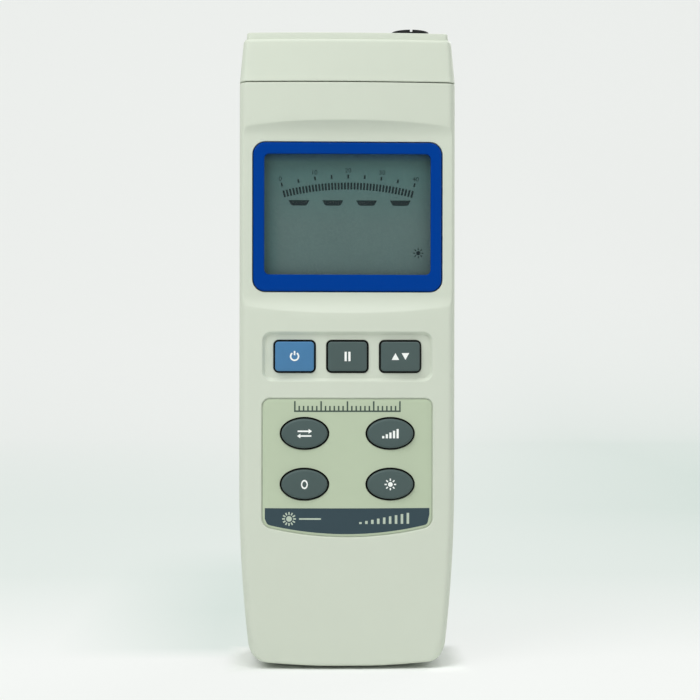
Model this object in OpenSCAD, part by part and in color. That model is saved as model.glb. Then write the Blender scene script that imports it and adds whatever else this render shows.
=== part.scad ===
// Handheld light meter with a separate probe socket, in millimetres.
// +Z runs from the base to the end cap, the display faces -Y, the origin is the middle of the base.

/* [Case] */
// Length from the base to the top of the end cap
body_l = 203; // [198:1:212]
// Width across the parting line
body_w = 70; // [69:0.5:76]
// Thickness from the key tops to the back
body_t = 38; // [37.5:0.5:44]
// Wall of the moulded shells
wall = 2.2; // [1.8:0.1:2.5]
// Height of the end cap with its seam
cap_l = 16.3; // [14:0.5:20]
// Groove between the end cap and the shells
seam_gap = 0.35; // [0.2:0.05:0.6]
// How far the middle of the front stands proud of its long edges
crown_rise = 1.5; // [1:0.1:2]
// Rounding of the long front edges, across the front
edge_w = 2.4; // [1.5:0.1:3]
// Rounding of the long front edges, into the depth
edge_d = 4.2; // [3:0.1:5]
// Radius of the long rear edges
rear_edge_r = 4.5; // [3:0.5:5]
// Draft of the sides towards the parting line, in degrees
side_draft = 1.5; // [0.5:0.25:2]
// How far each side draws in at the base
foot_taper = 3.8; // [1:0.1:5]
// Height where the sides start to draw in
taper_start = 58; // [40:1:80]
// Radius of the two lower corners in the front view
foot_corner_r = 7; // [4:0.5:9]
// Radius of the gentle curve of the base
base_curve_r = 300; // [200:10:500]
// How far each side of the end cap leans in at its top
cap_lean = 1.5; // [0.5:0.1:2]
// Height of the lip round the top of the end cap
cap_lip_h = 2.2; // [1.5:0.1:3]
// How far that lip is set back behind the end cap's sides
cap_lip_w = 0.85; // [0.5:0.05:1.2]
// Height of the end cap's rounded shoulder below the lip
cap_shoulder_h = 1.2; // [0.6:0.1:2]

/* [Display] */
// Depth of the display recess below the middle of the front
recess_d = 2.2; // [1.8:0.1:2.6]
// Distance of the recess's upper edge below the end cap's seam, in the middle
recess_drop = 12.1; // [11:0.1:14]
// Run of the upper cove of the recess
cove_top_run = 5.0; // [3.5:0.1:5.5]
// Run of the lower cove of the recess
cove_low_run = 5.8; // [4:0.1:6]
// Width of the viewing area
view_w = 53.3; // [48:0.1:56]
// Height of the viewing area
view_h = 38.7; // [36:0.1:41]
// Width of the blue frame's side bars
bezel_side_bar = 3.7; // [3:0.1:4.2]
// Width of the blue frame's upper bar
bezel_top_bar = 3.8; // [3:0.1:5]
// Width of the blue frame's lower bar
bezel_low_bar = 5.5; // [4:0.1:6.5]
// Corner radius of the blue frame
bezel_r = 4.0; // [2:0.1:5]
// Distance from the blue frame to the recess's upper edge
recess_top_margin = 6.8; // [6:0.1:8]
// Distance from the blue frame to the recess's lower edge
recess_low_margin = 7.1; // [6.6:0.1:8]
// Thickness of the blue frame
bezel_t = 2.2; // [1.9:0.1:2.6]
// How far the blue frame stands out of the recess
bezel_proud = 0.4; // [0.2:0.1:0.8]
// Thickness of the clear window
window_t = 1.2; // [0.8:0.1:1.4]
// Thickness of the glass cell
lcd_t = 2.8; // [2:0.1:3.2]

/* [Keys] */
// Height of the oval keys above the middle of the front
key_proud = 0.6; // [0.3:0.1:1]
// Travel of every key
key_travel = 1.1; // [0.8:0.1:1.2]
// Width of an upper key
square_key_w = 12.4; // [11:0.1:13]
// Height of an upper key
square_key_h = 9.4; // [8.5:0.1:10]
// Spacing of the upper keys
square_key_pitch = 16.9; // [16.5:0.1:17.5]
// Distance of the row of upper keys below the recess's lower edge
square_key_drop = 13.6; // [12.5:0.1:14.5]
// Width of the upper key pocket at the surface
pocket_w = 54.5; // [53:0.1:56]
// Height of the upper key pocket at the surface
pocket_h = 15.7; // [15:0.1:16]
// Depth of the upper key pocket
pocket_d = 1.2; // [0.8:0.1:1.4]
// Run of the pocket's sloping sides
pocket_slope = 1.1; // [0.6:0.1:1.4]
// Width of an oval key
oval_key_w = 14.7; // [13:0.1:15]
// Height of an oval key
oval_key_h = 9.4; // [8.5:0.1:10]
// Distance of the oval keys from the middle line
oval_key_x = 13.7; // [13:0.1:14.5]
// Distance of the upper pair of oval keys below the lower panel's upper edge
oval_key_drop = 11.4; // [10.5:0.1:12.5]
// Spacing of the two pairs of oval keys
oval_key_pitch = 16.2; // [14.5:0.1:17]
// Gap between a key and the edge of its hole
key_gap = 0.6; // [0.3:0.05:0.7]
// Width of the lower panel
panel_w = 55.0; // [53:0.1:56]
// Distance of the lower panel's upper edge below the row of upper keys
panel_drop = 13.2; // [12.5:0.1:14]
// Height of the lower panel, in the middle
panel_h = 44.7; // [42:0.1:47]
// Rise of the lower panel's curved edge from the middle to its sides
panel_bow = 3.6; // [2:0.1:4]
// Depth of the lower panel's recess
panel_d = 0.7; // [0.5:0.1:1]
// Thickness of the printed overlay in the lower panel
overlay_t = 0.4; // [0.25:0.05:0.5]
// Gap between the overlay and the edge of its recess
overlay_gap = 0.2; // [0.1:0.05:0.6]

/* [Probe socket] */
// Distance of the socket's axis from the side of the case
socket_side = 14.0; // [13.5:0.5:17]
// Radius of the bore for the probe's plug
socket_bore_r = 3.6; // [3:0.1:3.9]
// Radius of the threaded barrel
barrel_r = 4.95; // [4.6:0.05:5.2]
// Radius of the slotted ring nut
ring_nut_r = 6.1; // [5.8:0.1:6.6]
// Height of the slotted ring nut
ring_nut_h = 3.0; // [2:0.1:3.5]

/* [Batteries] */
// Radius of a cell
cell_r = 7.25; // [7:0.05:7.25]
// Length of a cell with its button
cell_l = 50.5; // [49:0.1:50.5]
// Thickness of the battery cover
cover_t = 1.8; // [1.5:0.1:2.2]

/* [Stand] */
// Width of the folding stand
stand_w = 39.6; // [30:0.2:40]
// Length of the folding stand below its hinge
stand_l = 42; // [36:0.5:42]
// Thickness of the folding stand
stand_t = 2.8; // [2.4:0.1:3]
// Radius of the stand's hinge pins
hinge_pin_r = 1.2; // [0.9:0.05:1.3]

/* [Hidden] */
$fn = 48;

// Small distance by which cutters run past what they cut
over = 1;
// Clearance between fixed pieces that slip together
slip = 0.15;
// Running clearance round the stand's hinge pins
hinge_clear = 0.05;
// Segments of a rounded corner, and of the crowned front
corner_steps = 6;
crown_steps = 10;

// Depth positions, from the front backwards
front_y = -body_t / 2 + key_proud;
back_y = body_t / 2;
side_lean = tan(side_draft) * -(front_y + crown_rise + edge_d);
crown_edge_x = body_w / 2 - side_lean - edge_w;
crown_r = (crown_edge_x * crown_edge_x + crown_rise * crown_rise) / (2 * crown_rise);
recess_y = front_y + recess_d;
bezel_back_y = recess_y - bezel_proud + bezel_t;
ledge_t = 1.2;
ledge_y = bezel_back_y + ledge_t;
deck_t = 2;
deck_y = front_y + pocket_d + deck_t;
sight_gap = 0.5;
lcd_gap = 0.1;
lcd_y = ledge_y + lcd_gap;
lcd_stand_off = 3.7;
board_y = lcd_y + lcd_t + lcd_stand_off;
board_t = 1.6;
board_back_y = board_y + board_t;
mat_t = 1.0;
mat_margin = 2;
mat_y = board_y - mat_t;

// Heights
base_flat = 0.1;
shell_top = body_l - cap_l;
cap_bottom = shell_top + seam_gap;
recess_top_z = shell_top - recess_drop;
bezel_w = view_w + 2 * bezel_side_bar;
bezel_h = view_h + bezel_top_bar + bezel_low_bar;
bezel_z = recess_top_z - recess_top_margin - bezel_h;
recess_low_z = bezel_z - recess_low_margin;
view_z = bezel_z + bezel_low_bar + view_h / 2;
square_key_z = recess_low_z - square_key_drop;
panel_top_z = square_key_z - panel_drop;
panel_low_z = panel_top_z - panel_h;
oval_key_top_z = panel_top_z - oval_key_drop;
oval_key_low_z = oval_key_top_z - oval_key_pitch;

// Screws
boss_r = 3.0;
screw_r = 1.25;
screw_head_r = 2.5;
screw_head_h = 1.8;
screw_reach = 6;
screw_clear_r = 1.6;
screw_tip_r = 0.3;
screw_hole_clear = 0.2;
case_screw_cross = [3, 1.6, 0.6];
counterbore_r = 2.9;
thread_clear = 0.03;
case_screw_side = 8.5;
case_screw_x = body_w / 2 - case_screw_side;
case_screw_low_z = 9.5;
case_screw_bezel_gap = 10.3;
case_screw_cap_gap = 8.85;
case_screw_zs = [case_screw_low_z, bezel_z - case_screw_bezel_gap, shell_top - case_screw_cap_gap];
case_screw_sink = 9;
case_screw_seat_y = back_y - case_screw_sink;
lug_t = 1.4;
lug_clear = 0.1;
board_screw_r = 1.0;
board_screw_head_r = 2.2;
board_screw_head_h = 1.5;
board_screw_reach = 5;
screw_tip_clear = 0.5;
board_boss_r = 2.6;
board_screw_side = 8;
board_screw_x = body_w / 2 - board_screw_side;
board_screw_panel_gap = 1.2;
board_screw_cap_gap = 12.2;
board_screw_zs = [panel_low_z - board_screw_panel_gap,
    (panel_top_z + square_key_z - pocket_h / 2) / 2, shell_top - board_screw_cap_gap];
board_screw_at = [for (s = [-1, 1], i = [0:2])
    [s * (i < 2 ? board_screw_x : board_screw_x / 2), board_screw_zs[i]]];

// Keys
SQUARE = 0;
OVAL = 1;
key_top_y = front_y - key_proud;
square_top_drop = 0.1;
square_top_y = front_y + square_top_drop;
flange_t = 1.0;
flange_w = 1.2;
flange_gap = 0.1;
flange_y = deck_y + flange_gap;
stem_r = 3.6;
dome_h = 3;
stem_y = mat_y - dome_h;
pill_r = 2.0;
pill_clear = 0.2;
pill_y = board_y - key_travel - pill_clear;
dome_foot_r = 4.8;
dome_wall = 0.7;
dome_gap = 0.1;
mat_hole_gap = 0.3;
square_hole_w = square_key_w + 2 * key_gap;
square_hole_h = square_key_h + 2 * key_gap;
square_key_r = 1.1;
oval_hole_w = oval_key_w + 2 * key_gap;
oval_hole_h = oval_key_h + 2 * key_gap;
pocket_r = 2.9;
panel_r = 2.8;
panel_slope = 0.25;

// Battery bay in the rear shell, below the middle case screws, with as many pairs of cells as fit
bay_wall = 1.5;
bay_foot = 14;
bay_screw_gap = 5.7;
bay_clear = 0.2;
cell_gap = 0.2;
cell_pitch = 2 * cell_r + cell_gap;
bay_top_z = case_screw_zs[1] - bay_screw_gap;
cell_count = 2 * floor((bay_top_z - bay_clear - bay_foot) / (2 * cell_pitch));
bay_low_z = bay_top_z - bay_clear - cell_count * cell_pitch;
cover_y = back_y - cover_t;
cell_cover_gap = 0.1;
cell_floor_gap = 0.3;
cell_y = cover_y - cell_cover_gap - cell_r;
bay_floor_y = cell_y - cell_r - cell_floor_gap;
cell_tip_r = 2.7;
cell_tip_l = 1.3;
contact_run = 3.2;
bay_x = cell_l / 2 + contact_run;
opening_end_gap = 1.15;
opening_x = cell_l / 2 + opening_end_gap;
cover_rim = 1.4;
cover_x = opening_x + cover_rim;
cover_ledge_t = 1.5;
cover_clear = 0.2;
cover_tab_x = 8;
cover_tab_l = 9;
cover_r = 2.5;
cover_lap = 1;
cover_low_z = bay_low_z - cover_lap;
cover_top_z = bay_top_z + cover_lap;
cover_screw_drop = 5;
cover_screw_rise = 4.4;
cover_screw_zs = [cover_low_z - cover_screw_drop, cover_top_z + cover_screw_rise];
cover_screw_r = 1.25;
cover_screw_head_r = 2.4;
cover_screw_head_h = 0.9;
cover_screw_sink = 1;
cover_screw_cross = [2.8, 1.2, 0.6];
cover_screw_reach = 8;
grip_r = 0.6;
grip_l = 26;
grip_pitch = 3;
plate_half = 5.5;
plate_gap = 0.1;
tail_w = 3;
tail_t = 0.5;
contact_touch = 0.05;
contact_button_r = 2.2;
leaf_half = 4;
leaf_w = 6;
leaf_t = 0.4;

// Stand
stand_sink = 0.1;
stand_cover_gap = 2.5;
stand_floor_gap = 0.5;
hinge_y = back_y - stand_sink - stand_t / 2;
stand_low_z = cover_top_z + cover_tab_l + stand_cover_gap;
hinge_z = stand_low_z + stand_l;
stand_clear = 0.4;
stand_recess_y = hinge_y - stand_t / 2 - stand_floor_gap;
hinge_pin_l = 2.6;
hinge_end_clear = 0.3;
stand_pad_t = 2;
stand_r = 3;
stand_side_bar = 11.5;
stand_end_bar = 12;
groove_r = 0.8;
groove_l = 16;

// Socket
socket_x = body_w / 2 - socket_side;
socket_face_drop = 4.5;
socket_face_z = body_l - socket_face_drop;
nut_slot_w = 0.8;
nut_slot_d = 0.7;
socket_step = 0.3;
insulator_r = socket_bore_r - socket_step;
press_clear = 0.02;
barrel_sink = 0.8;
barrel_top_z = body_l + ring_nut_h - barrel_sink;
cap_roof_t = 2.4;
barrel_flange_r = 6.6;
barrel_flange_t = 4;
barrel_tail_swell = 0.6;
barrel_tail_r = barrel_r + barrel_tail_swell;
barrel_flange_z = body_l - cap_roof_t;
socket_l = 11;
socket_low_z = body_l - socket_l;
contact_r = 0.45;
contact_ring_r = 2.0;
contact_drop = 7;
contact_low_z = shell_top - contact_drop;
contact_step = 2.5;
contact_sink = 1;
contact_clear = 0.1;

// Side jacks
jack_lift = 5.5;
jack_y = board_back_y + jack_lift;
jack_nose_r = 3.9;
jack_hole_clear = 0.3;
jack_hole_r = jack_nose_r + jack_hole_clear;
jack_nose_sink = 0.5;
jack_nose_x = body_w / 2 - jack_nose_sink;
jack_wall_gap = 1.2;
jack_body_x = body_w / 2 - wall - jack_wall_gap;
jack_body_l = 12;
jack_half = 4.5;
jack_rise = 5.35;
jack_pitch = 16;
data_jack_z = view_z + jack_rise;
data_bore_r = 1.8;
data_bore_l = 11;
power_jack_z = data_jack_z - jack_pitch;
power_bore_r = 3.2;
power_bore_l = 9.5;
power_pin_r = 1.05;
power_pin_sink = 0.8;

// Colours
case_colour = [0.80, 0.83, 0.76];
blue_colour = [0.03, 0.24, 0.57];
key_colour = [0.30, 0.36, 0.36];
power_colour = [0.29, 0.50, 0.66];
overlay_colour = [0.71, 0.77, 0.67];

// Profiles

// How far the crowned front has dropped back at x
function crown_drop(x) = crown_r - sqrt(crown_r * crown_r - x * x);

// Half width at the parting line, at height z
function half_width(z) = body_w / 2
    - (z < taper_start ? foot_taper * pow((taper_start - z) / taper_start, 2) : 0);

// Points of an arc about c, from angle a to angle b
function arc(c, r, a, b, steps = corner_steps) =
    [for (i = [0:steps]) let (t = a + (b - a) * i / steps) c + r * [cos(t), sin(t)]];

// Outline of a rounded rectangle about the origin, counter-clockwise
function rounded(w, h, r) = [
    each arc([w / 2 - r, r - h / 2], r, -90, 0),
    each arc([w / 2 - r, h / 2 - r], r, 0, 90),
    each arc([r - w / 2, h / 2 - r], r, 90, 180),
    each arc([r - w / 2, r - h / 2], r, 180, 270)];

// Outline of an oval about the origin, counter-clockwise
function oval(w, h, steps = 40) =
    [for (i = [0:steps - 1]) [w / 2 * cos(360 * i / steps), h / 2 * sin(360 * i / steps)]];

// Front half of the plan at inset n, from the left of the parting line round the front to the right
function front_half(hw, n) = let (
        yf = front_y + n,
        cw = max(edge_w - n / 2, 0.8),
        cd = max(edge_d - n, 0.8),
        xs = hw - n - side_lean,
        xe = xs - cw,
        ye = yf + crown_drop(xe))
    [[n - hw, n > 0 ? over : 0],
    for (i = [0:corner_steps]) let (t = 90 - 90 * i / corner_steps)
        [-xe - cw * sin(t), ye + cd * (1 - cos(t))],
    for (i = [1:crown_steps - 1]) let (x = xe * (2 * i / crown_steps - 1)) [x, yf + crown_drop(x)],
    for (i = [0:corner_steps]) let (t = 90 * i / corner_steps) [xe + cw * sin(t), ye + cd * (1 - cos(t))],
    [hw - n, n > 0 ? over : 0]];

// Rear half of the plan at inset n, from the right of the parting line round the back to the left
function rear_half(hw, n) = let (
        yb = back_y - n,
        r = max(rear_edge_r - n, 1),
        xc = hw - n - tan(side_draft) * (back_y - rear_edge_r) - r)
    [[hw - n, n > 0 ? -over : 0],
    each arc([xc, yb - r], r, 0, 90),
    each arc([-xc, yb - r], r, 90, 180),
    [n - hw, n > 0 ? -over : 0]];

// Whole plan at inset n, for the end cap
function whole_plan(hw, n) = let (f = front_half(hw, n), b = rear_half(hw, n)) [
    for (i = [1:len(f) - 2]) f[i],
    for (i = [1:len(b) - 2]) b[i]];

// Outline of the base and its lower corners in the front view, at inset n
function base_outline(n) = let (
        x = half_width(foot_corner_r) - foot_corner_r,
        r = foot_corner_r - n,
        bow = function(u) u * u / (2 * base_curve_r) - base_flat,
        zc = max(bow(x), 0) + foot_corner_r,
        side = arc([x, zc], r, -15, -75, 5),
        tail = side[0] + 4 * [sin(15), cos(15)])
    [for (i = [0:8]) let (u = -x + 2 * x * i / 8) [u, max(bow(u), 0) + n],
    for (p = [for (i = [len(side) - 1:-1:0]) side[i]]) p,
    tail,
    [body_w, tail[1]], [body_w, 2 * body_l], [-body_w, 2 * body_l], [-body_w, tail[1]],
    [-tail[0], tail[1]],
    for (p = side) [-p[0], p[1]]];

// Outline of the lower panel at inset n, in the front view
function panel_outline(n) = let (
        x = panel_w / 2 - n,
        r = panel_r - n,
        top = panel_top_z - n,
        low = panel_low_z + n,
        corner_z = low + panel_bow + r * 0.6)
    [each arc([x - r, top - r], r, 0, 90),
    for (i = [1:5]) [(x - r) * (1 - i / 3), top],
    each arc([r - x, top - r], r, 90, 180),
    each arc([r - x, corner_z], r, 180, 255),
    for (i = [1:11]) let (u = (x - r) * (i / 6 - 1)) [u, low + panel_bow * pow(u / x, 2) * 0.9],
    each arc([x - r, corner_z], r, -75, 0)];

// Outline of the upper key pocket at inset n, in the front view
function pocket_outline(n) = let (w = pocket_w / 2 - n, h = pocket_h / 2 - n, r = pocket_r - n) [
    each arc([w - r, square_key_z + h - r], r, 0, 90),
    for (i = [1:9]) [(w - r) * (1 - i / 5), square_key_z + h],
    each arc([r - w, square_key_z + h - r], r, 90, 180),
    each arc([r - w, square_key_z - h + r], r, 180, 270),
    for (i = [1:9]) [(r - w) * (1 - i / 5), square_key_z - h],
    each arc([w - r, square_key_z - h + r], r, 270, 360)];

// Building blocks

// Solid skinned over rings of points that run counter-clockwise, seen from the last ring
module loft(rings) {
    n = len(rings[0]);
    m = len(rings);
    sides = [for (k = [0:m - 2], i = [0:n - 1]) let (a = k * n + i, b = k * n + (i + 1) % n)
        each [[a, a + n, b + n], [a, b + n, b]]];
    polyhedron([for (r = rings) each r],
        [each sides, [for (i = [0:n - 1]) i], [for (i = [n - 1:-1:0]) (m - 1) * n + i]]);
}

// Prism of a front-view outline between depths y0 and y1
module front_prism(points, y0, y1)
    translate([0, y1, 0]) rotate([90, 0, 0]) linear_extrude(y1 - y0) polygon(points);

// Cylinder along Y from y0 to y1
module along_y(r, x, z, y0, y1)
    translate([x, y0, z]) rotate([-90, 0, 0]) cylinder(r = r, h = y1 - y0);

// Cylinder along X from x0 to x1
module along_x(r, x0, x1, y, z)
    translate([x0, y, z]) rotate([0, 90, 0]) cylinder(r = r, h = x1 - x0);

// Cylinder along Z from z0 to z1
module along_z(r, z0, z1)
    translate([0, 0, z0]) cylinder(r = r, h = z1 - z0);

// Box between two corners
module box(a, b)
    translate(a) cube(b - a);

// Heights of the sections through the shells
section_zs = [for (i = [-1:8]) taper_start * i / 8];

// Outer or inner form of one half of the case, at inset n
module half_form(n, front) {
    zs = [each section_zs, shell_top + (n > 0 ? over : 0)];
    intersection() {
        loft([for (z = zs) [for (p = front ? front_half(half_width(z), n) : rear_half(half_width(z), n))
            [p[0], p[1], z]]]);
        front_prism(base_outline(n), -body_t, body_t);
    }
}

// Hollow half of the case
module half_shell(front)
    difference() {
        half_form(0, front);
        half_form(wall, front);
    }

// Space in front of the crowned surface that lies depth d below the front
module outside_crown(d)
    difference() {
        box([-body_w, front_y - 5, 0], [body_w, front_y + 6, body_l]);
        translate([0, front_y + crown_r, -over]) cylinder(r = crown_r - d, h = body_l + 2 * over, $fn = 200);
    }

// Pocket with sloping sides whose floor follows the crowned front
module crowned_pocket(d, slope, outline)
    intersection() {
        loft([for (s = [[0, d + 0.3], [1, d + 0.3], [1, -0.3], [0, -0.3]])
            [for (p = outline(slope * s[1] / d))
                [p[0], front_y + (s[0] == 1 ? s[1] + crown_drop(p[0]) : s[1] < 0 ? -3 : 4), p[1]]]]);
        outside_crown(d);
    }

// Where the keys are: [x, z, shape]
power_at = [-square_key_pitch, square_key_z, SQUARE];
hold_at = [0, square_key_z, SQUARE];
record_at = [square_key_pitch, square_key_z, SQUARE];
unit_at = [-oval_key_x, oval_key_top_z, OVAL];
range_at = [oval_key_x, oval_key_top_z, OVAL];
zero_at = [-oval_key_x, oval_key_low_z, OVAL];
source_at = [oval_key_x, oval_key_low_z, OVAL];
all_keys = [power_at, hold_at, record_at, unit_at, range_at, zero_at, source_at];

// Outline of a key, grown by n on every side
function key_outline(at, n) = at[2] == OVAL
    ? oval(oval_key_w + 2 * n, oval_key_h + 2 * n)
    : rounded(square_key_w + 2 * n, square_key_h + 2 * n, square_key_r + n);

// Case

module display_recess() {
    top_r = (cove_top_run * cove_top_run + recess_d * recess_d) / (2 * recess_d);
    low_r = (cove_low_run * cove_low_run + recess_d * recess_d) / (2 * recess_d);
    top_a = asin(cove_top_run / top_r);
    low_a = asin(cove_low_run / low_r);
    steps = 8;
    rotate([90, 0, 90]) linear_extrude(2 * body_w, center = true) polygon([
        each arc([recess_y - low_r, recess_low_z + cove_low_run], low_r, -low_a - 10, 0, steps),
        each arc([recess_y - top_r, recess_top_z - cove_top_run], top_r, 0, top_a + 10, steps)]);
}

module front_shell() color(case_colour) difference() {
    union() {
        half_shell(true);
        intersection() {
            half_form(wall / 2, true);
            union() {
                box([-body_w, front_y, recess_low_z - 3], [body_w, ledge_y, recess_top_z + 1]);
                box([-body_w, front_y, panel_low_z - 3], [body_w, deck_y, recess_low_z]);
            }
        }
        for (z = case_screw_zs, s = [-1, 1])
            along_y(boss_r, s * case_screw_x, z, front_y + crown_drop(case_screw_x) + wall / 2,
                case_boss_y(z, -1));
        for (p = board_screw_at)
            along_y(board_boss_r, p[0], p[1], front_y + crown_drop(p[0]) + wall * 0.7, board_y);
    }
    display_recess();
    translate([0, 0, bezel_z + bezel_h / 2])
        front_prism(rounded(bezel_w + 2 * slip, bezel_h + 2 * slip, bezel_r + slip),
            front_y - over, bezel_back_y);
    translate([0, 0, view_z])
        front_prism(rounded(view_w + 2 * sight_gap, view_h + 2 * sight_gap, 1.5), front_y, ledge_y + over);
    crowned_pocket(pocket_d, pocket_slope, function(n) pocket_outline(n));
    crowned_pocket(panel_d, panel_slope, function(n) panel_outline(n));
    for (at = all_keys) translate([at[0], 0, at[1]])
        front_prism(key_outline(at, key_gap), front_y - over, deck_y + over);
    for (z = case_screw_zs, s = [-1, 1])
        along_y(screw_r + thread_clear, s * case_screw_x, z, -screw_reach - over, over);
    for (p = board_screw_at)
        along_y(board_screw_r + thread_clear, p[0], p[1], board_y - board_screw_reach, board_y + over);
    jack_holes();
}

// Face of a screw boss at the parting line: the top pair holds the end cap's lugs between them
function case_boss_y(z, side) = side * (z == case_screw_zs[2] ? lug_t / 2 + lug_clear : 0);

module jack_holes()
    for (z = [data_jack_z, power_jack_z])
        along_x(jack_hole_r, body_w / 2 - 2 * wall, body_w / 2 + over, jack_y, z);

// Outline of the battery cover in the front view, at inset n
module cover_outline(n)
    translate([0, (cover_low_z + cover_top_z) / 2]) {
        h = cover_top_z - cover_low_z - 2 * n;
        polygon(rounded(2 * cover_x - 2 * n, h, cover_r - n));
        polygon(rounded(2 * cover_tab_x - 2 * n, h + 2 * cover_tab_l, cover_r - n));
    }

module rear_shell() color(case_colour) difference() {
    union() {
        half_shell(false);
        intersection() {
            half_form(wall / 2, false);
            union() {
                box([-bay_x - bay_wall, bay_floor_y - bay_wall, bay_low_z - bay_wall],
                    [bay_x + bay_wall, back_y, bay_top_z + bay_wall]);
                box([-stand_w / 2 - 4, stand_recess_y - stand_pad_t, stand_low_z - 2.4],
                    [stand_w / 2 + 4, back_y, hinge_z + stand_t / 2 + 3]);
                for (z = cover_screw_zs) along_y(boss_r, 0, z, cover_y - cover_screw_reach - 2, back_y);
                for (z = case_screw_zs, s = [-1, 1])
                    along_y(boss_r + 1.1, s * case_screw_x, z, case_screw_seat_y - 2, back_y);
            }
        }
        for (z = case_screw_zs, s = [-1, 1])
            along_y(boss_r, s * case_screw_x, z, case_boss_y(z, 1), case_screw_seat_y);
    }
    // battery bay with the ledge, the opening and the seat of the cover
    box([-bay_x, bay_floor_y, bay_low_z], [bay_x, cover_y - cover_ledge_t, bay_top_z]);
    box([-opening_x, bay_floor_y, bay_low_z + 0.4], [opening_x, cover_y + over, bay_top_z - 0.4]);
    translate([0, back_y + over, 0]) rotate([90, 0, 0]) linear_extrude(cover_t + over) cover_outline(0);
    for (z = [bay_cell_z(0), bay_cell_z(cell_count - 1)])
        box([bay_x - tail_t - 0.5, bay_floor_y - bay_wall - over, z - tail_w / 2 - 0.3],
            [bay_x, bay_floor_y + over, z + tail_w / 2 + 0.3]);
    for (z = cover_screw_zs)
        along_y(cover_screw_r + thread_clear, 0, z, cover_y - cover_screw_reach - 1, cover_y + over);
    // stand recess and its hinge sockets
    box([-stand_w / 2 - stand_clear, stand_recess_y, stand_low_z - stand_clear],
        [stand_w / 2 + stand_clear, back_y + over, hinge_z + stand_t / 2 + stand_clear]);
    hinge_end_x = stand_w / 2 + hinge_pin_l + hinge_end_clear;
    along_x(hinge_pin_r + hinge_clear, -hinge_end_x, hinge_end_x, hinge_y, hinge_z);
    for (z = case_screw_zs, s = [-1, 1]) {
        along_y(screw_clear_r, s * case_screw_x, z, -over, case_screw_seat_y + over);
        along_y(counterbore_r, s * case_screw_x, z, case_screw_seat_y, back_y + over);
    }
    jack_holes();
}

// Lugs of the end cap that the top pair of case screws passes through, reaching out to x
module cap_lugs(x)
    for (s = [0, 1]) mirror([s, 0, 0])
        box([case_screw_x - boss_r, -lug_t / 2, case_screw_zs[2] - boss_r], [x, lug_t / 2, shell_top]);

module end_cap() color(case_colour) {
    hw = body_w / 2;
    spread = 1.6;
    tongue_l = 4;
    lean = function(z) cap_lean * (z - cap_bottom) / (body_l - cap_bottom);
    edge_soft = 0.25;
    lip_z = body_l - cap_lip_h;
    shoulder = function(t) [lip_z - cap_shoulder_h * (1 - sin(t)), cap_lip_w * (1 - cos(t))];
    section = function(z, n) [for (p = whole_plan(hw, n)) [p[0], p[1], z]];
    difference() {
        union() {
            loft([section(cap_bottom, 0),
                for (i = [0:3]) let (e = shoulder(30 * i)) section(e[0], lean(e[0]) + e[1]),
                section(body_l - edge_soft, lean(body_l) + cap_lip_w),
                section(body_l, lean(body_l) + cap_lip_w + edge_soft)]);
            loft([section(shell_top - tongue_l, wall + slip), section(cap_bottom + over, wall + slip)]);
            cap_lugs(hw - wall - slip - spread / 2);
        }
        difference() {
            loft([section(shell_top - tongue_l - over, wall + slip + spread),
                section(body_l - cap_roof_t, wall + slip + spread)]);
            cap_lugs(hw);
        }
        for (s = [-1, 1])
            along_y(screw_clear_r, s * case_screw_x, case_screw_zs[2], -lug_t, lug_t);
        translate([socket_x, 0, body_l - cap_roof_t - over])
            cylinder(r = barrel_r + slip, h = cap_roof_t + 2 * over);
    }
}

// Display

window_lap = 1.5;
window_w = view_w + 2 * window_lap;
window_h = view_h + 2 * window_lap;

module display_bezel() color(blue_colour) difference() {
    front = bezel_back_y - bezel_t;
    chamfer = 0.5;
    translate([0, 0, bezel_z + bezel_h / 2])
        loft([for (s = [[bezel_back_y, 0], [front + chamfer, 0],
                [front + chamfer * 0.24, chamfer * 0.45], [front, chamfer]])
            [for (p = rounded(bezel_w - 2 * s[1], bezel_h - 2 * s[1], bezel_r - s[1])) [p[0], s[0], p[1]]]]);
    translate([0, 0, view_z]) {
        front_prism(rounded(view_w, view_h, 1.6), front - over, bezel_back_y + over);
        front_prism(rounded(window_w, window_h, 2), bezel_back_y - window_t, bezel_back_y + over);
    }
}

module display_window() color([0.85, 0.9, 0.88, 0.35]) translate([0, 0, view_z])
    front_prism(rounded(window_w - 2 * slip, window_h - 2 * slip, 2), bezel_back_y - window_t, bezel_back_y);

lcd_side_lap = 1.0;
lcd_end_lap = 1.95;
lcd_w = view_w + 2 * lcd_side_lap;
lcd_h = view_h + 2 * lcd_end_lap;
lcd_ledge = 2.6;
frame_bar = 2.2;
frame_side = 0.6;
zebra_w = 2;
zebra_inset = 2;

// Two glass plates: the front one is taller, and the back of its two ledges carries the contact rows
module lcd_cell() color([0.42, 0.48, 0.45]) translate([0, 0, view_z]) {
    box([-lcd_w / 2, lcd_y, -lcd_h / 2], [lcd_w / 2, lcd_y + lcd_t / 2, lcd_h / 2]);
    box([-lcd_w / 2, lcd_y + lcd_t / 2, lcd_ledge - lcd_h / 2],
        [lcd_w / 2, lcd_y + lcd_t, lcd_h / 2 - lcd_ledge]);
}

module lcd_frame() color([0.15, 0.15, 0.15]) translate([0, 0, view_z]) difference() {
    front_prism(rounded(lcd_w + 2 * (slip + frame_side), lcd_h + 2 * frame_bar, 1.5), ledge_y, board_y);
    front_prism(rounded(lcd_w + 2 * slip, lcd_h + 2 * slip, 0.5), ledge_y - over, board_y + over);
}

module zebra_strips() color([0.75, 0.45, 0.55])
    for (s = [-1, 1]) translate([0, 0, view_z + s * (lcd_h - lcd_ledge) / 2])
        box([zebra_inset - lcd_w / 2, lcd_y + lcd_t / 2, -zebra_w / 2],
            [lcd_w / 2 - zebra_inset, board_y, zebra_w / 2]);

// Electronics

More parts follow.
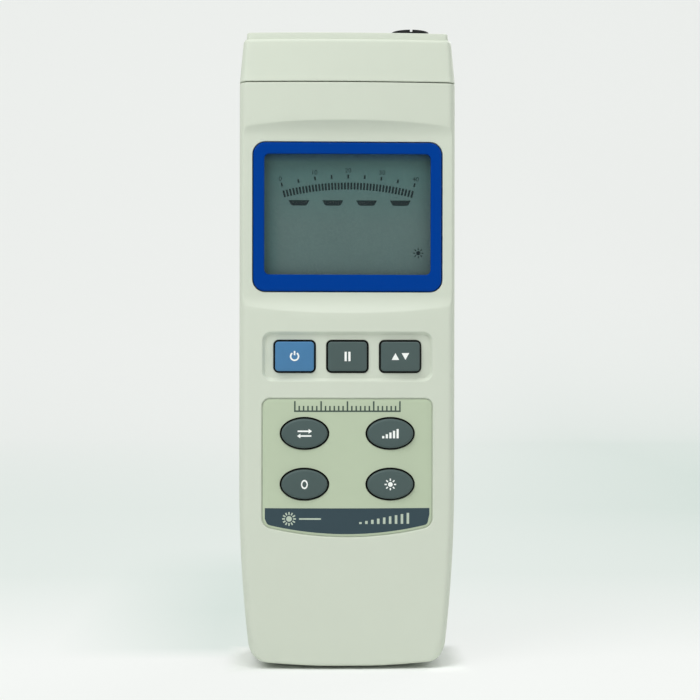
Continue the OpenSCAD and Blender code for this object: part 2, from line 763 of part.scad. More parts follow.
board_side_gap = 5.5;
board_cap_gap = 6;
board_boss_gap = 0.4;
board_x = body_w / 2 - board_side_gap;
board_low_z = 16;
board_top_z = shell_top - board_cap_gap;
lead_w = 0.4;
lead_l = 1.4;
lead_t = 0.5;
chip_lift = 0.2;
controller_size = [14, 20, 2.6];
controller_drop = 7;
amplifier_size = [6, 5, 1.8];
amplifier_rise = 23;
amplifier_x = 6;
crystal_size = [4.4, 11, 3.4];
crystal_x = -15;

module main_board() color([0.1, 0.35, 0.2]) difference() {
    translate([0, 0, (board_low_z + board_top_z) / 2])
        front_prism(rounded(2 * board_x, board_top_z - board_low_z, 2), board_y, board_back_y);
    for (z = case_screw_zs, s = [-1, 1])
        along_y(boss_r + board_boss_gap, s * case_screw_x, z, board_y - over, board_back_y + over);
    for (p = board_screw_at)
        along_y(board_screw_r + screw_hole_clear, p[0], p[1], board_y - over, board_back_y + over);
}

// Flat chip package with a row of leads along two sides
module chip(size, leads) {
    w = size[0];
    h = size[1];
    box([-w / 2, board_back_y + chip_lift, -h / 2], [w / 2, board_back_y + size[2], h / 2]);
    for (i = [0:leads - 1], s = [-1, 1])
        translate([s * (w / 2 + lead_l / 3), 0, h * ((i + 0.5) / leads - 0.5)])
            box([-lead_l / 2, board_back_y, -lead_w / 2], [lead_l / 2, board_back_y + lead_t, lead_w / 2]);
}

module controller_chip() color([0.12, 0.12, 0.13]) translate([0, 0, square_key_z - controller_drop])
    chip(controller_size, 10);

module amplifier_chip() color([0.12, 0.12, 0.13]) translate([amplifier_x, 0, view_z + amplifier_rise])
    chip(amplifier_size, 4);

module quartz_crystal() color([0.75, 0.75, 0.75]) translate([crystal_x, 0, square_key_z - controller_drop])
    front_prism(rounded(crystal_size[0], crystal_size[1], crystal_size[0] * 0.48),
        board_back_y, board_back_y + crystal_size[2]);

// Keys

module keypad_mat() color([0.25, 0.28, 0.28]) difference() {
    translate([0, 0, (square_key_z + oval_key_low_z) / 2])
        front_prism(rounded(2 * (square_key_pitch + dome_foot_r + mat_margin),
            square_key_z - oval_key_low_z + 2 * (dome_foot_r + mat_margin), 2), mat_y, board_y);
    for (at = all_keys)
        along_y(dome_foot_r - dome_wall - mat_hole_gap, at[0], at[1], mat_y - over, board_y + over);
}

// Collapsing cone of silicone between the mat and the underside of a key
module dome(at) color([0.25, 0.28, 0.28]) translate([at[0], mat_y, at[1]]) rotate([90, 0, 0]) rotate_extrude()
    polygon([[dome_foot_r - dome_wall, 0], [dome_foot_r, 0], [stem_r - dome_gap, dome_h - dome_gap],
        [stem_r - dome_gap - dome_wall, dome_h - dome_gap]]);

// Key with a rounded top, a flange that stops it behind the shell, a stem and a contact pill
module key(at, colour) {
    top = at[2] == OVAL ? key_top_y : square_top_y;
    crown = at[2] == OVAL ? [[1.0, 0], [0.55, 0.1], [0.25, 0.35], [0.08, 0.8], [0, 1.6]]
        : [[0.7, 0], [0.35, 0.06], [0.12, 0.22], [0, 0.5]];
    color(colour) translate([at[0], 0, at[1]]) union() {
        loft([for (s = [[flange_y + flange_t / 5 - top, 0], each crown])
            [for (p = key_outline(at, -s[1])) [p[0], top + s[0], p[1]]]]);
        front_prism(key_outline(at, flange_w), flange_y, flange_y + flange_t);
        along_y(stem_r, 0, 0, flange_y + flange_t / 2, stem_y);
        along_y(pill_r, 0, 0, stem_y - 0.5, pill_y);
    }
}

module panel_overlay() color(overlay_colour) intersection() {
    difference() {
        front_prism(panel_outline(overlay_gap + panel_slope), front_y - over, front_y + 4);
        for (at = [unit_at, range_at, zero_at, source_at]) translate([at[0], 0, at[1]])
            front_prism(key_outline(at, key_gap), front_y - 2 * over, front_y + 5);
    }
    difference() {
        translate([0, front_y + crown_r, 0])
            cylinder(r = crown_r - panel_d + overlay_t, h = panel_top_z, $fn = 200);
        translate([0, front_y + crown_r, -over]) cylinder(r = crown_r - panel_d, h = body_l, $fn = 200);
    }
}

// Probe socket

module sensor_socket() color([0.2, 0.2, 0.21]) translate([socket_x, 0, 0]) difference() {
    union() {
        along_z(barrel_r, barrel_flange_z - over, barrel_top_z);
        along_z(barrel_flange_r, barrel_flange_z - barrel_flange_t, barrel_flange_z);
        along_z(barrel_tail_r, socket_low_z, barrel_flange_z - over);
    }
    along_z(socket_bore_r, socket_face_z, barrel_top_z + over);
    along_z(insulator_r, socket_low_z - over, socket_face_z + over);
}

function contact_at(i) = contact_ring_r * [cos(45 + 90 * i), sin(45 + 90 * i)];

module socket_insulator() color([0.08, 0.08, 0.08]) translate([socket_x, 0, 0]) difference() {
    along_z(insulator_r - press_clear, socket_low_z, socket_face_z);
    for (i = [0:3]) translate(contact_at(i))
        along_z(contact_r + contact_clear, socket_low_z - over, socket_face_z + over);
}

// Contact tails run down to the board and turn forward into it
module socket_contacts() color([0.8, 0.7, 0.35]) for (i = [0:3]) {
    p = [socket_x + contact_at(i)[0], contact_at(i)[1]];
    z = contact_low_z + (p[1] > 0 ? 0 : contact_step);
    translate(p) along_z(contact_r, z - contact_r, socket_face_z - contact_sink, $fn = 24);
    along_y(contact_r * 0.9, p[0], z, board_back_y, p[1]);
}

module socket_ring_nut() color([0.1, 0.11, 0.11]) translate([socket_x, 0, body_l]) difference() {
    cylinder(r = ring_nut_r, h = ring_nut_h);
    translate([0, 0, -over]) cylinder(r = barrel_r + thread_clear, h = ring_nut_h + 2 * over);
    for (a = [0:90:270]) rotate(a)
        box([-nut_slot_w / 2, -2 * ring_nut_r, ring_nut_h - nut_slot_d],
            [nut_slot_w / 2, 0, ring_nut_h + over]);
}

// Side jacks

module jack(z, bore_r, bore_l) translate([0, 0, z]) difference() {
    union() {
        box([jack_body_x - jack_body_l, board_back_y, -jack_half],
            [jack_body_x, jack_y + jack_half, jack_half]);
        along_x(jack_nose_r, jack_body_x - 1, jack_nose_x, jack_y, 0);
    }
    along_x(bore_r, jack_nose_x - bore_l, jack_nose_x + over, jack_y, 0);
}

module data_jack() color([0.13, 0.13, 0.13]) jack(data_jack_z, data_bore_r, data_bore_l);

module power_jack() color([0.13, 0.13, 0.13]) jack(power_jack_z, power_bore_r, power_bore_l);

module power_jack_pin() color([0.8, 0.8, 0.78])
    along_x(power_pin_r, jack_nose_x - power_bore_l, jack_nose_x - power_pin_sink, jack_y, power_jack_z);

// Batteries

plate_x = bay_x - plate_gap;

function bay_cell_z(i) = bay_low_z + bay_clear / 2 + cell_pitch * (i + 0.5);

// The cells point right and left in turn
module battery_cells() color([0.75, 0.6, 0.2]) for (i = [0:cell_count - 1])
    translate([0, cell_y, bay_cell_z(i)]) rotate([0, i % 2 == 0 ? 90 : -90, 0]) {
        translate([0, 0, -cell_l / 2]) cylinder(r = cell_r, h = cell_l - cell_tip_l);
        translate([0, 0, -cell_l / 2 + cell_r]) cylinder(r = cell_tip_r, h = cell_l - cell_r);
    }

// Contact plate at one end of the bay that bridges cells a to b, with a button or a bowed leaf for each
module contact_plate(side, a, b) {
    mirror([side > 0 ? 0 : 1, 0, 0]) {
        box([plate_x - tail_t, cell_y - plate_half, bay_cell_z(a) - plate_half],
            [plate_x, cell_y + plate_half, bay_cell_z(b) + plate_half]);
        for (i = [a:b]) {
            positive = (i % 2 == 0) == (side > 0);
            touch_x = cell_l / 2 + contact_touch;
            run = plate_x - tail_t - touch_x;
            bow_r = (leaf_half * leaf_half + run * run) / (2 * run);
            if (positive) along_x(contact_button_r, touch_x, plate_x - tail_t / 2, cell_y, bay_cell_z(i));
            else intersection() {
                translate([touch_x + bow_r, cell_y, bay_cell_z(i) - leaf_w / 2]) difference() {
                    cylinder(r = bow_r, h = leaf_w);
                    translate([0, 0, -over]) cylinder(r = bow_r - leaf_t, h = leaf_w + 2 * over);
                }
                box([cell_l / 2, cell_y - leaf_w, 0], [plate_x - tail_t / 2, cell_y + leaf_w, body_l]);
            }
        }
    }
}

module battery_contacts() color([0.78, 0.78, 0.76]) {
    last = cell_count - 1;
    for (i = [0:2:last]) contact_plate(-1, i, i + 1);
    for (i = [1:2:last - 1]) contact_plate(1, i, i + 1);
    for (i = [0, last]) union() {
        contact_plate(1, i, i);
        box([plate_x - tail_t, board_back_y, bay_cell_z(i) - tail_w / 2],
            [plate_x, cell_y, bay_cell_z(i) + tail_w / 2]);
    }
}

module battery_cover() color(case_colour) difference() {
    translate([0, back_y, 0]) rotate([90, 0, 0]) linear_extrude(cover_t) cover_outline(cover_clear);
    for (z = cover_screw_zs) {
        along_y(cover_screw_r + screw_hole_clear, 0, z, cover_y - over, back_y + over);
        along_y(cover_screw_head_r + screw_hole_clear, 0, z, back_y - cover_screw_sink, back_y + over);
    }
    // grip ribs cut across the middle
    for (i = [-3:3])
        along_x(grip_r, -grip_l / 2, grip_l / 2, back_y, (cover_low_z + cover_top_z) / 2 + grip_pitch * i);
}

// Self-tapping screw along Y: the head's underside is at y, the point towards the front
module screw(x, z, y, r, head_r, head_h, reach) {
    along_y(head_r, x, z, y, y + head_h);
    along_y(r, x, z, y - reach + r, y + head_h / 2);
    translate([x, y - reach, z]) rotate([-90, 0, 0]) cylinder(r1 = screw_tip_r, r2 = r, h = r);
}

module cover_screws() color([0.7, 0.7, 0.7]) for (z = cover_screw_zs) difference() {
    screw(0, z, back_y - cover_screw_sink, cover_screw_r, cover_screw_head_r, cover_screw_head_h,
        cover_screw_reach - cover_screw_sink);
    for (a = [0, 90]) translate([0, back_y, z]) rotate([0, a, 0]) cube(cover_screw_cross, center = true);
}

module case_screws() color([0.7, 0.7, 0.7]) for (z = case_screw_zs, s = [-1, 1]) difference() {
    screw(s * case_screw_x, z, case_screw_seat_y, screw_r, screw_head_r, screw_head_h,
        case_screw_seat_y + screw_reach);
    for (a = [0, 90]) translate([s * case_screw_x, case_screw_seat_y + screw_head_h, z]) rotate([0, a, 0])
        cube(case_screw_cross, center = true);
}

module board_screws() color([0.7, 0.7, 0.7]) for (p = board_screw_at)
    screw(p[0], p[1], board_back_y, board_screw_r, board_screw_head_r, board_screw_head_h,
        board_t + board_screw_reach - screw_tip_clear);

// Stand

module tilt_stand() color(case_colour) difference() {
    union() {
        translate([0, hinge_y - stand_t / 2, 0]) rotate([-90, 0, 0]) mirror([0, 1, 0]) linear_extrude(stand_t)
            translate([0, (stand_low_z + hinge_z) / 2])
                polygon([each arc([stand_w / 2 - stand_r, stand_r - stand_l / 2], stand_r, -90, 0),
                    [stand_w / 2, stand_l / 2], [-stand_w / 2, stand_l / 2],
                    each arc([stand_r - stand_w / 2, stand_r - stand_l / 2], stand_r, 180, 270)]);
        along_x(stand_t / 2, -stand_w / 2, stand_w / 2, hinge_y, hinge_z);
        along_x(hinge_pin_r, -stand_w / 2 - hinge_pin_l, stand_w / 2 + hinge_pin_l, hinge_y, hinge_z);
    }
    // lightening window, and a nail groove at the foot
    translate([0, 0, (stand_low_z + hinge_z) / 2 + 1])
        front_prism(rounded(stand_w - 2 * stand_side_bar, stand_l - 2 * stand_end_bar, stand_r),
            hinge_y - stand_t, hinge_y + stand_t);
    along_x(groove_r, -groove_l / 2, groove_l / 2,
        hinge_y + stand_t / 2, stand_low_z + stand_r + groove_r / 2);
}

front_shell();
rear_shell();
end_cap();
display_bezel();
display_window();
lcd_cell();
lcd_frame();
zebra_strips();
main_board();
controller_chip();
amplifier_chip();
quartz_crystal();
keypad_mat();
dome(power_at);  // power_dome
dome(hold_at);  // hold_dome
dome(record_at);  // record_dome
dome(unit_at);  // unit_dome
dome(range_at);  // range_dome
dome(zero_at);  // zero_dome
dome(source_at);  // source_dome
key(power_at, power_colour);  // power_key
key(hold_at, key_colour);  // hold_key
key(record_at, key_colour);  // record_key
key(unit_at, key_colour);  // unit_key
key(range_at, key_colour);  // range_key
key(zero_at, key_colour);  // zero_key
key(source_at, key_colour);  // source_key
panel_overlay();
sensor_socket();
socket_insulator();
socket_contacts();
socket_ring_nut();
data_jack();
power_jack();
power_jack_pin();
battery_cells();
battery_contacts();
battery_cover();
cover_screws();
tilt_stand();
case_screws();
board_screws();
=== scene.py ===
"""Looks of a handheld light meter, dressed over its CAD frame. All lengths are in metres."""

import math

import bmesh
import bpy
import numpy as np
from bpy.props import FloatProperty, FloatVectorProperty, PointerProperty
from mathutils import Matrix, Vector
from mathutils.geometry import delaunay_2d_cdt


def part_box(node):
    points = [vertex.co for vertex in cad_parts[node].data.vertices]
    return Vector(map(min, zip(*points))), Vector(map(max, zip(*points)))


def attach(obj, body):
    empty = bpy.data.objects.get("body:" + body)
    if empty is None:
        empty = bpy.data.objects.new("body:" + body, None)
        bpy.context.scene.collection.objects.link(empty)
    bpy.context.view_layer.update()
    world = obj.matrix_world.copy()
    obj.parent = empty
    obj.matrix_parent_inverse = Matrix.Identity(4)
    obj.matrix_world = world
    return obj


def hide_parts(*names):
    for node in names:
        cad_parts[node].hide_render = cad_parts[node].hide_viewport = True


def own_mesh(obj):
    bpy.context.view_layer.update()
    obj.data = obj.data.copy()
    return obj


bl_info = {
    "name": "Handheld Light Meter",
    "version": (1, 0, 0),
    "blender": (4, 5, 0),
    "location": "View3D > Sidebar > Meter",
    "description": "Builds the visible pieces of a handheld light meter around its CAD frame",
    "category": "Object",
}

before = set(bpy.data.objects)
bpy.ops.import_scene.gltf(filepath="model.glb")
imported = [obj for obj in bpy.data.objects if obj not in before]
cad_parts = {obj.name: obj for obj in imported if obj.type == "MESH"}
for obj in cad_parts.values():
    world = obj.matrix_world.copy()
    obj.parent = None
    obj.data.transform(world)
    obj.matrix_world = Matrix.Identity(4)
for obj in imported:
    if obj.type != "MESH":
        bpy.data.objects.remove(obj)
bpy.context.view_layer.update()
MM = 0.001
UPPER_KEYS = ("power", "hold", "record")
OVAL_KEYS = ("unit", "range", "zero", "source")
JACKS = ("data_jack", "power_jack")
SEAM_TURN = np.array([0, 0.08, 0.3, 0.6, 1])  # rows of a seam's rounding, as shares of its radius
WELD = 1e-6  # points closer than this are one
LEAST_EDGE = 1e-7  # shorter edges are taken away


# Settings


def length(name, description, millimetres):
    """Length property with its default in millimetres."""
    return FloatProperty(
        name=name, description=description, default=millimetres * MM,
        precision=5, subtype="DISTANCE", unit="LENGTH",
    )


def colour(name, description, red, green, blue):
    """Colour property with its default as sRGB shares, kept in linear light."""
    srgb = np.array([red, green, blue])
    linear = np.where(srgb <= 0.04045, srgb / 12.92, ((srgb + 0.055) / 1.055) ** 2.4)
    return FloatVectorProperty(
        name=name, description=description, default=tuple(linear), size=3, min=0, max=1, subtype="COLOR",
    )


def watts(name, description, value):
    """Power property of a lamp."""
    return FloatProperty(name=name, description=description, default=value, min=0, unit="POWER")


def fraction(name, description, value):
    """Property for a share or a strength from 0 to 1."""
    return FloatProperty(name=name, description=description, default=value, min=0, max=1, subtype="FACTOR")


def degrees(name, description, value):
    """Angle property with its default in degrees."""
    return FloatProperty(name=name, description=description, default=math.radians(value), subtype="ANGLE")


class MeterCaseSettings(bpy.types.PropertyGroup):
    """Form of the moulded case"""

    crown_rise: length("Crown", "How far the middle of the front stands proud of its long edges", 1.5)
    edge_w: length("Edge width", "Rounding of the long front edges, across the front", 2.4)
    edge_d: length("Edge depth", "Rounding of the long front edges, into the depth", 4.2)
    lean: length("Side lean", "How far the sides lean out from the front edge to the parting line", 0.333)
    foot_taper: length("Foot taper", "How far each side draws in at the base", 3.8)
    taper_start: length("Taper start", "Height where the sides start to draw in", 58)
    foot_corner_r: length("Foot corner", "Radius of the lower corners in the front view", 7)
    base_curve_r: length("Base curve", "Radius of the gentle curve of the base", 300)
    base_flat: length("Base flat", "How much of that curve is cut flat to stand on", 0.1)
    base_lift: length("Base lift", "How far the base curves up towards the front edge", 0.3)
    base_edge_r: length("Base edge", "Rounding between the front and the base", 0.8)
    wall: length("Wall", "Wall of the case at its rims", 2.2)
    skin: length("Skin", "Thickness of the front face", 1.8)
    seam_r: length("Seam rounding", "Rounding of the edges beside the seams", 0.28)
    rear_edge_r: length("Rear edge", "Radius of the long rear edges", 4.5)
    cap_lean: length("Cap lean", "How far each side of the end cap leans in at its top", 1.5)
    cap_lip_h: length("Cap lip height", "Height of the lip round the top of the end cap", 2.2)
    cap_lip_w: length("Cap lip set-back", "How far that lip is set back behind the end cap's sides", 0.85)
    cap_shoulder_h: length("Cap shoulder", "Height of the rounded shoulder below the lip", 1.2)
    cap_roof_t: length("Cap roof", "Thickness of the end cap's top", 2.4)
    seam_gap: length("Seam", "Gap between the end cap and the front of the case", 0.35)
    jack_hole_r: length("Jack hole", "Radius of the holes for the side jacks", 4.2)


class MeterFaceSettings(bpy.types.PropertyGroup):
    """Recesses in the front of the case"""

    bezel_r: length("Frame corner", "Corner radius of the blue frame", 4.0)
    recess_d: length("Recess depth", "Depth of the display recess below the middle of the front", 2.2)
    recess_top_margin: length("Recess above", "Distance from the blue frame to the recess's upper edge", 6.8)
    recess_low_margin: length("Recess below", "Distance from the blue frame to the recess's lower edge", 6.8)
    cove_top_run: length("Upper cove", "Run of the upper cove of the recess", 5.0)
    cove_low_run: length("Lower cove", "Run of the lower cove of the recess", 5.8)
    soft: length("Edge softness", "Reach of the rounding along the edges of the recesses", 0.3)
    pocket_w: length("Pocket width", "Width of the upper key pocket at the surface", 54.5)
    pocket_h: length("Pocket height", "Height of the upper key pocket at the surface", 15.7)
    pocket_r: length("Pocket corner", "Corner radius of the upper key pocket", 2.9)
    pocket_d: length("Pocket depth", "Depth of the upper key pocket", 1.2)
    pocket_slope: length("Pocket slope", "Run of the pocket's sloping sides", 0.85)
    pocket_soft: length("Pocket softness", "Reach of the rounding along the pocket's edges", 0.18)
    frame_gap: length("Frame gap", "Gap between the blue frame and the edge of its hole", 0.3)
    frame_trim: length("Frame trim", "How far the blue frame's edge lies inside its space", 0.15)
    panel_margin: length("Panel margin", "Distance from the overlay to the edge of the lower panel", 0.45)
    panel_bow: length("Panel bow", "Rise of the lower panel's curved edge from the middle to its sides", 3.4)
    panel_r: length("Panel corner", "Corner radius of the lower panel", 2.8)
    panel_d: length("Panel depth", "Depth of the lower panel's recess", 0.7)
    panel_slope: length("Panel slope", "Run of the lower panel's sides", 0.25)
    overlay_t: length("Overlay", "Thickness of the printed overlay", 0.4)


class MeterKeySettings(bpy.types.PropertyGroup):
    """Form of the keys"""

    gap: length("Gap", "Gap between a key and the edge of its hole", 0.6)
    flange_w: length("Flange width", "How far the flange behind the case stands out round a key", 1.2)
    flange_t: length("Flange thickness", "Thickness of that flange", 1.0)
    square_r: length("Corner", "Corner radius of the upper keys", 1.1)
    square_edge: length("Upper key edge", "Rounding of the upper keys' upper edge", 0.5)
    oval_edge: length("Oval key edge", "Rounding of the oval keys' upper edge", 0.8)
    dome: length("Dome", "Rise of a key's top towards its middle", 0.2)
    stem_r: length("Stem", "Radius of the stem under a key", 3.6)
    pill_r: length("Pill", "Radius of the contact pill on the stem", 2.0)
    pill_l: length("Pill length", "Length of the contact pill", 2.7)
    travel: length("Travel", "How far a key goes in", 1.1)
    spring_wall: length("Spring wall", "Thickness of the silicone dome under a key", 0.7)
    spring_gap: length("Spring gap", "How far that dome stays inside the stem's edge", 0.1)
    print_lift: length("Print lift", "Thickness of printed marks", 0.03)


class MeterDisplaySettings(bpy.types.PropertyGroup):
    """Resting marks of the display"""

    scale_r: length("Scale radius", "Radius of the arc along the tops of the bars", 84.0)
    scale_w: length("Scale width", "Distance between the first and the last bar", 41.8)
    scale_x: length("Scale across", "Place of the arc's middle across the view", 0.26)
    scale_rise: length("Scale height", "Height of the arc's top above the middle of the view", 10.5)
    bar_l: length("Bar length", "Length of a bar", 2.25)
    bar_w: length("Bar width", "Width of a bar", 0.64)
    tick_gap: length("Tick gap", "Gap between the bars and the ticks", 1.3)
    tick_l: length("Tick length", "Length of a tick", 1.25)
    tick_w: length("Tick width", "Width of a tick", 0.54)
    number_gap: length("Number gap", "Distance from the bars to the middle of a number", 3.85)
    number_h: length("Number height", "Height of a digit", 1.47)
    block_x: length("First block", "Place of the first block across the view", -15.6)
    block_pitch: length("Block pitch", "Distance between blocks", 10.9)
    block_rise: length("Block height", "Height of the blocks above the middle of the view", 3.9)
    block_w: length("Block top", "Width of a block at its top", 6.8)
    block_low_w: length("Block foot", "Width of a block at its foot", 4.9)
    block_h: length("Block size", "Height of a block", 1.75)
    block_r: length("Block corner", "Reach of a block's rounded lower corners", 0.6)
    lamp_x: length("Lamp across", "Place of the lamp mark across the view", 22.9)
    lamp_drop: length("Lamp drop", "Depth of the lamp mark below the middle of the view", 12.2)
    lamp_r: length("Lamp disc", "Radius of the lamp mark's disc", 0.7)
    lamp_reach: length("Lamp reach", "Radius to the ends of its rays", 1.67)
    lamp_ray: length("Lamp ray", "Width of its rays", 0.35)
    film: length("Film", "Thickness of the marks", 0.02)


class MeterColourSettings(bpy.types.PropertyGroup):
    """Colours of the finishes"""

    case: colour("Case", "Moulded case", 0.80, 0.827, 0.77)
    blue_frame: colour("Blue frame", "Frame of the display", 0.0, 0.23, 0.565)
    display: colour("Display", "Resting display", 0.385, 0.465, 0.455)
    segment: colour("Segments", "Dark segments of the display", 0.08, 0.14, 0.15)
    blue_key: colour("Blue key", "Power key", 0.285, 0.48, 0.645)
    grey_key: colour("Grey key", "All other keys", 0.295, 0.355, 0.35)
    overlay: colour("Overlay", "Printed film of the lower panel", 0.72, 0.77, 0.67)
    band: colour("Band", "Dark band on the overlay", 0.205, 0.275, 0.305)
    ink: colour("Ink", "Dark marks on the overlay", 0.27, 0.33, 0.30)
    white: colour("White", "Light marks on the keys", 0.95, 0.96, 0.95)
    pale: colour("Pale", "Light marks on the dark band", 0.72, 0.77, 0.71)
    black: colour("Black", "Black mouldings", 0.055, 0.065, 0.065)
    steel: colour("Steel", "Screws and contact plates", 0.72, 0.72, 0.71)
    brass: colour("Brass", "Plated contacts", 0.80, 0.68, 0.40)
    board: colour("Board", "Circuit board", 0.08, 0.33, 0.19)
    sleeve: colour("Sleeve", "Sleeve of the battery cells", 0.17, 0.18, 0.20)
    strip: colour("Strip", "Conductive rubber strips", 0.72, 0.46, 0.53)
    rubber: colour("Rubber", "Key mat and domes", 0.25, 0.28, 0.28)
    floor: colour("Floor", "Floor and backdrop", 0.935, 0.945, 0.935)


class MeterStageSettings(bpy.types.PropertyGroup):
    """Camera, light and backdrop"""

    camera_x: length("Camera across", "Place of the camera across the front", 1.29)
    camera_y: length("Camera distance", "Place of the camera in depth", -528.4)
    camera_z: length("Camera height", "Height of the camera", 101.16)
    lens: FloatProperty(name="Lens", description="Focal length in millimetres", default=82.2, unit="CAMERA")
    roll: degrees("Roll", "Turn of the camera about its axis", 0.085)
    orbit: degrees("Orbit", "Turn of the camera round the meter", -1.6)
    ambient: fraction("Ambient", "Strength of the even light", 0.225)
    key_power: watts("Key light", "Power of the key light", 7.9)
    fill_power: watts("Fill light", "Power of the fill light", 2.8)
    back_power: watts("Back light", "Power of the back light", 7.5)
    top_power: watts("Top light", "Power of the top light", 6.7)
    paleness: fraction("Paleness", "Share of pale light in the backdrop", 0.85)
    # Painted shade on the backdrop: how much duller it turns behind the meter, close by on the left and far
    # out on the right
    shade: fraction("Shade", "Share of the dull tone behind the meter", 0.48)
    shade_left: fraction("Shade left", "More of it close by on the left", 0.58)
    shade_right: fraction("Shade right", "More of it far out on the right", 0.45)
    shadow_reach: length("Shadow reach", "Distance over which the floor's shadow fades", 5)
    stand_gap: length("Stand gap", "Depth of the floor below the flat of the base", 0.85)
    pale_tone: colour("Pale tone", "Backdrop as the camera sees it", 0.955, 0.965, 0.955)
    # Tone of the backdrop in full painted shade
    painted_shade_tone: colour("Dull tone", "Backdrop as the camera sees it in full shade", 0.80, 0.86, 0.83)


# Outlines and soft joins


def soft_max(a, b, reach):
    """Larger of a and b, rounded by a parabola where they are within reach of each other."""
    share = np.clip(0.5 + 0.5 * (a - b) / reach, 0, 1)
    return b + (a - b) * share + reach * share * (1 - share)


def soft_step(distance, run, reach):
    """Ramp from 0 to 1 over a run, rounded at both ends."""
    return soft_max(-soft_max(-distance, -run, reach), 0, reach) / run


def fillet(distance, r):
    """How far a quarter circle of radius r falls away at a distance from the edge that it rounds."""
    short = np.clip(r - distance, 0, r)
    return r - np.sqrt(r * r - short * short)


def arc(cx, cz, r, start, end, steps):
    """Points of a circle arc about (cx, cz), with angles in degrees."""
    angle = np.radians(np.linspace(start, end, steps + 1))
    return np.stack([cx + r * np.cos(angle), cz + r * np.sin(angle)], -1)


def closed(*stretches, step):
    """Closed outline through stretches of points, with the straight gaps between them filled every step."""
    points = np.concatenate(stretches)
    follow = np.roll(points, -1, 0)
    gap = np.linalg.norm(follow - points, axis=1)
    parts = np.maximum(np.ceil(gap / step).astype(int), 1)
    parts[gap < 1e-9] = 0
    start = np.repeat(np.arange(len(points)), parts)
    share = (np.arange(len(start)) - np.repeat(np.cumsum(parts) - parts, parts)) / np.repeat(parts, parts)
    return points[start] + (follow - points)[start] * share[:, None]


def rounded(w, h, r, z=0.0, x=0.0, corner=8):
    """Corners of a rounded rectangle about (x, z), counter-clockwise: four quarter circles."""
    a, b = w / 2 - r, h / 2 - r
    return np.concatenate([
        arc(x + a, z - b, r, -90, 0, corner),
        arc(x + a, z + b, r, 0, 90, corner),
        arc(x - a, z + b, r, 90, 180, corner),
        arc(x - a, z - b, r, 180, 270, corner),
    ])


def oval(w, h, z=0.0, x=0.0, steps=72):
    """Ellipse about (x, z), counter-clockwise."""
    angle = np.linspace(0, 2 * np.pi, steps, endpoint=False)
    return np.stack([x + w / 2 * np.cos(angle), z + h / 2 * np.sin(angle)], -1)


def bend(before, corner, after, reach, steps=6):
    """Parabola that rounds a corner between two straight lines, from a reach before it to as far after it."""
    corner = np.asarray(corner)
    ends = [np.asarray(end) - corner for end in (before, after)]
    start, stop = [corner + reach * end / np.linalg.norm(end) for end in ends]
    share = np.linspace(0, 1, steps)[:, None]
    return list((1 - share) ** 2 * start + 2 * share * (1 - share) * corner + share**2 * stop)


def rounded_inset(x, z, w, h, r, centre):
    """Distance inside a rounded rectangle's outline, negative outside."""
    a, b = np.abs(x) - w / 2 + r, np.abs(z - centre) - h / 2 + r
    return r - np.hypot(np.maximum(a, 0), np.maximum(b, 0)) - np.minimum(np.maximum(a, b), 0)


def meet(a, b, r):
    """Signed distance to the overlap of two shapes whose distances are a and b, with a corner of radius r."""
    return np.minimum(np.maximum(a, b), -r) + np.hypot(np.maximum(a + r, 0), np.maximum(b + r, 0))


def inside(points, outline):
    """Even-odd test of points against a closed outline."""
    x, z = points[:, 0, None], points[:, 1, None]
    x0, z0 = outline[:, 0], outline[:, 1]
    x1, z1 = np.roll(x0, -1), np.roll(z0, -1)
    spans = (z0 > z) != (z1 > z)
    crossing = x0 + (z - z0) / np.where(z1 == z0, 1, z1 - z0) * (x1 - x0)
    return (spans & (x < crossing)).sum(1) % 2 == 1


def offset(loop, distance):
    """Closed loop moved along its own outward normals, for a counter-clockwise loop."""
    along = np.roll(loop, -1, 0) - np.roll(loop, 1, 0)
    normal = np.stack([along[:, 1], -along[:, 0]], -1)
    return loop + distance * normal / np.linalg.norm(normal, axis=1)[:, None]


def lattice(x, z):
    """All pairs (x, z) from two rows of places."""
    return np.stack(np.meshgrid(x, z, indexing="ij"), -1).reshape(-1, 2)


def upright(flat, y):
    """Points (x, y, z) from points (x, z) of the front view and their depth y."""
    return np.stack([flat[..., 0], np.broadcast_to(y, flat.shape[:-1]), flat[..., 1]], -1)


def box_middle(node):
    """Middle (x, y, z) of a CAD node's box."""
    return [(low + high) / 2 for low, high in zip(*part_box(node))]


# Mesh building


def grid_faces(rows, columns, rows_closed=False, columns_closed=False):
    """Quads between neighbouring points of a grid that is stored row by row."""
    last_row, last_column = rows - (not rows_closed), columns - (not columns_closed)
    r, c = np.meshgrid(np.arange(last_row), np.arange(last_column), indexing="ij")
    r1, c1 = (r + 1) % rows, (c + 1) % columns
    quads = [r * columns + c, r * columns + c1, r1 * columns + c1, r1 * columns + c]
    return np.stack(quads, -1).reshape(-1, 4)


def ringed(rings, rows_closed=True):
    """Points and quads of closed rings of as many points each, every ring joined to the next."""
    points = np.array(rings)
    return points.reshape(-1, 3), grid_faces(*points.shape[:2], rows_closed, True)


def fill(loops, loose, holes):
    """Triangles (x, z) that fill the first loop up to the holes: a Delaunay net held to all loops' edges."""
    starts = np.cumsum([0] + [len(loop) for loop in loops])
    edges = [
        np.stack([np.arange(n), np.roll(np.arange(n), -1)], -1) + start
        for n, start in zip(map(len, loops), starts)
    ]
    given = np.concatenate([*loops, loose])
    net = delaunay_2d_cdt(list(map(Vector, given)), np.concatenate(edges).tolist(), [], 0, 1e-8)
    points = np.array([given[sources[0]] if sources else tuple(v) for v, sources in zip(net[0], net[3])])
    faces = np.array(net[2])
    middle = points[faces].mean(1)
    keep = inside(middle, loops[0])
    for hole in holes:
        keep &= ~inside(middle, hole)
    return points, faces[keep]


def walls(sides, count):
    """Quads that join two sheets of so many points each along every side that only one face has."""
    _, first, times = np.unique(np.sort(sides, 1), axis=0, return_index=True, return_counts=True)
    rim = sides[first[times == 1]]
    return np.stack([rim[:, 1], rim[:, 0], rim[:, 0] + count, rim[:, 1] + count], -1).tolist()


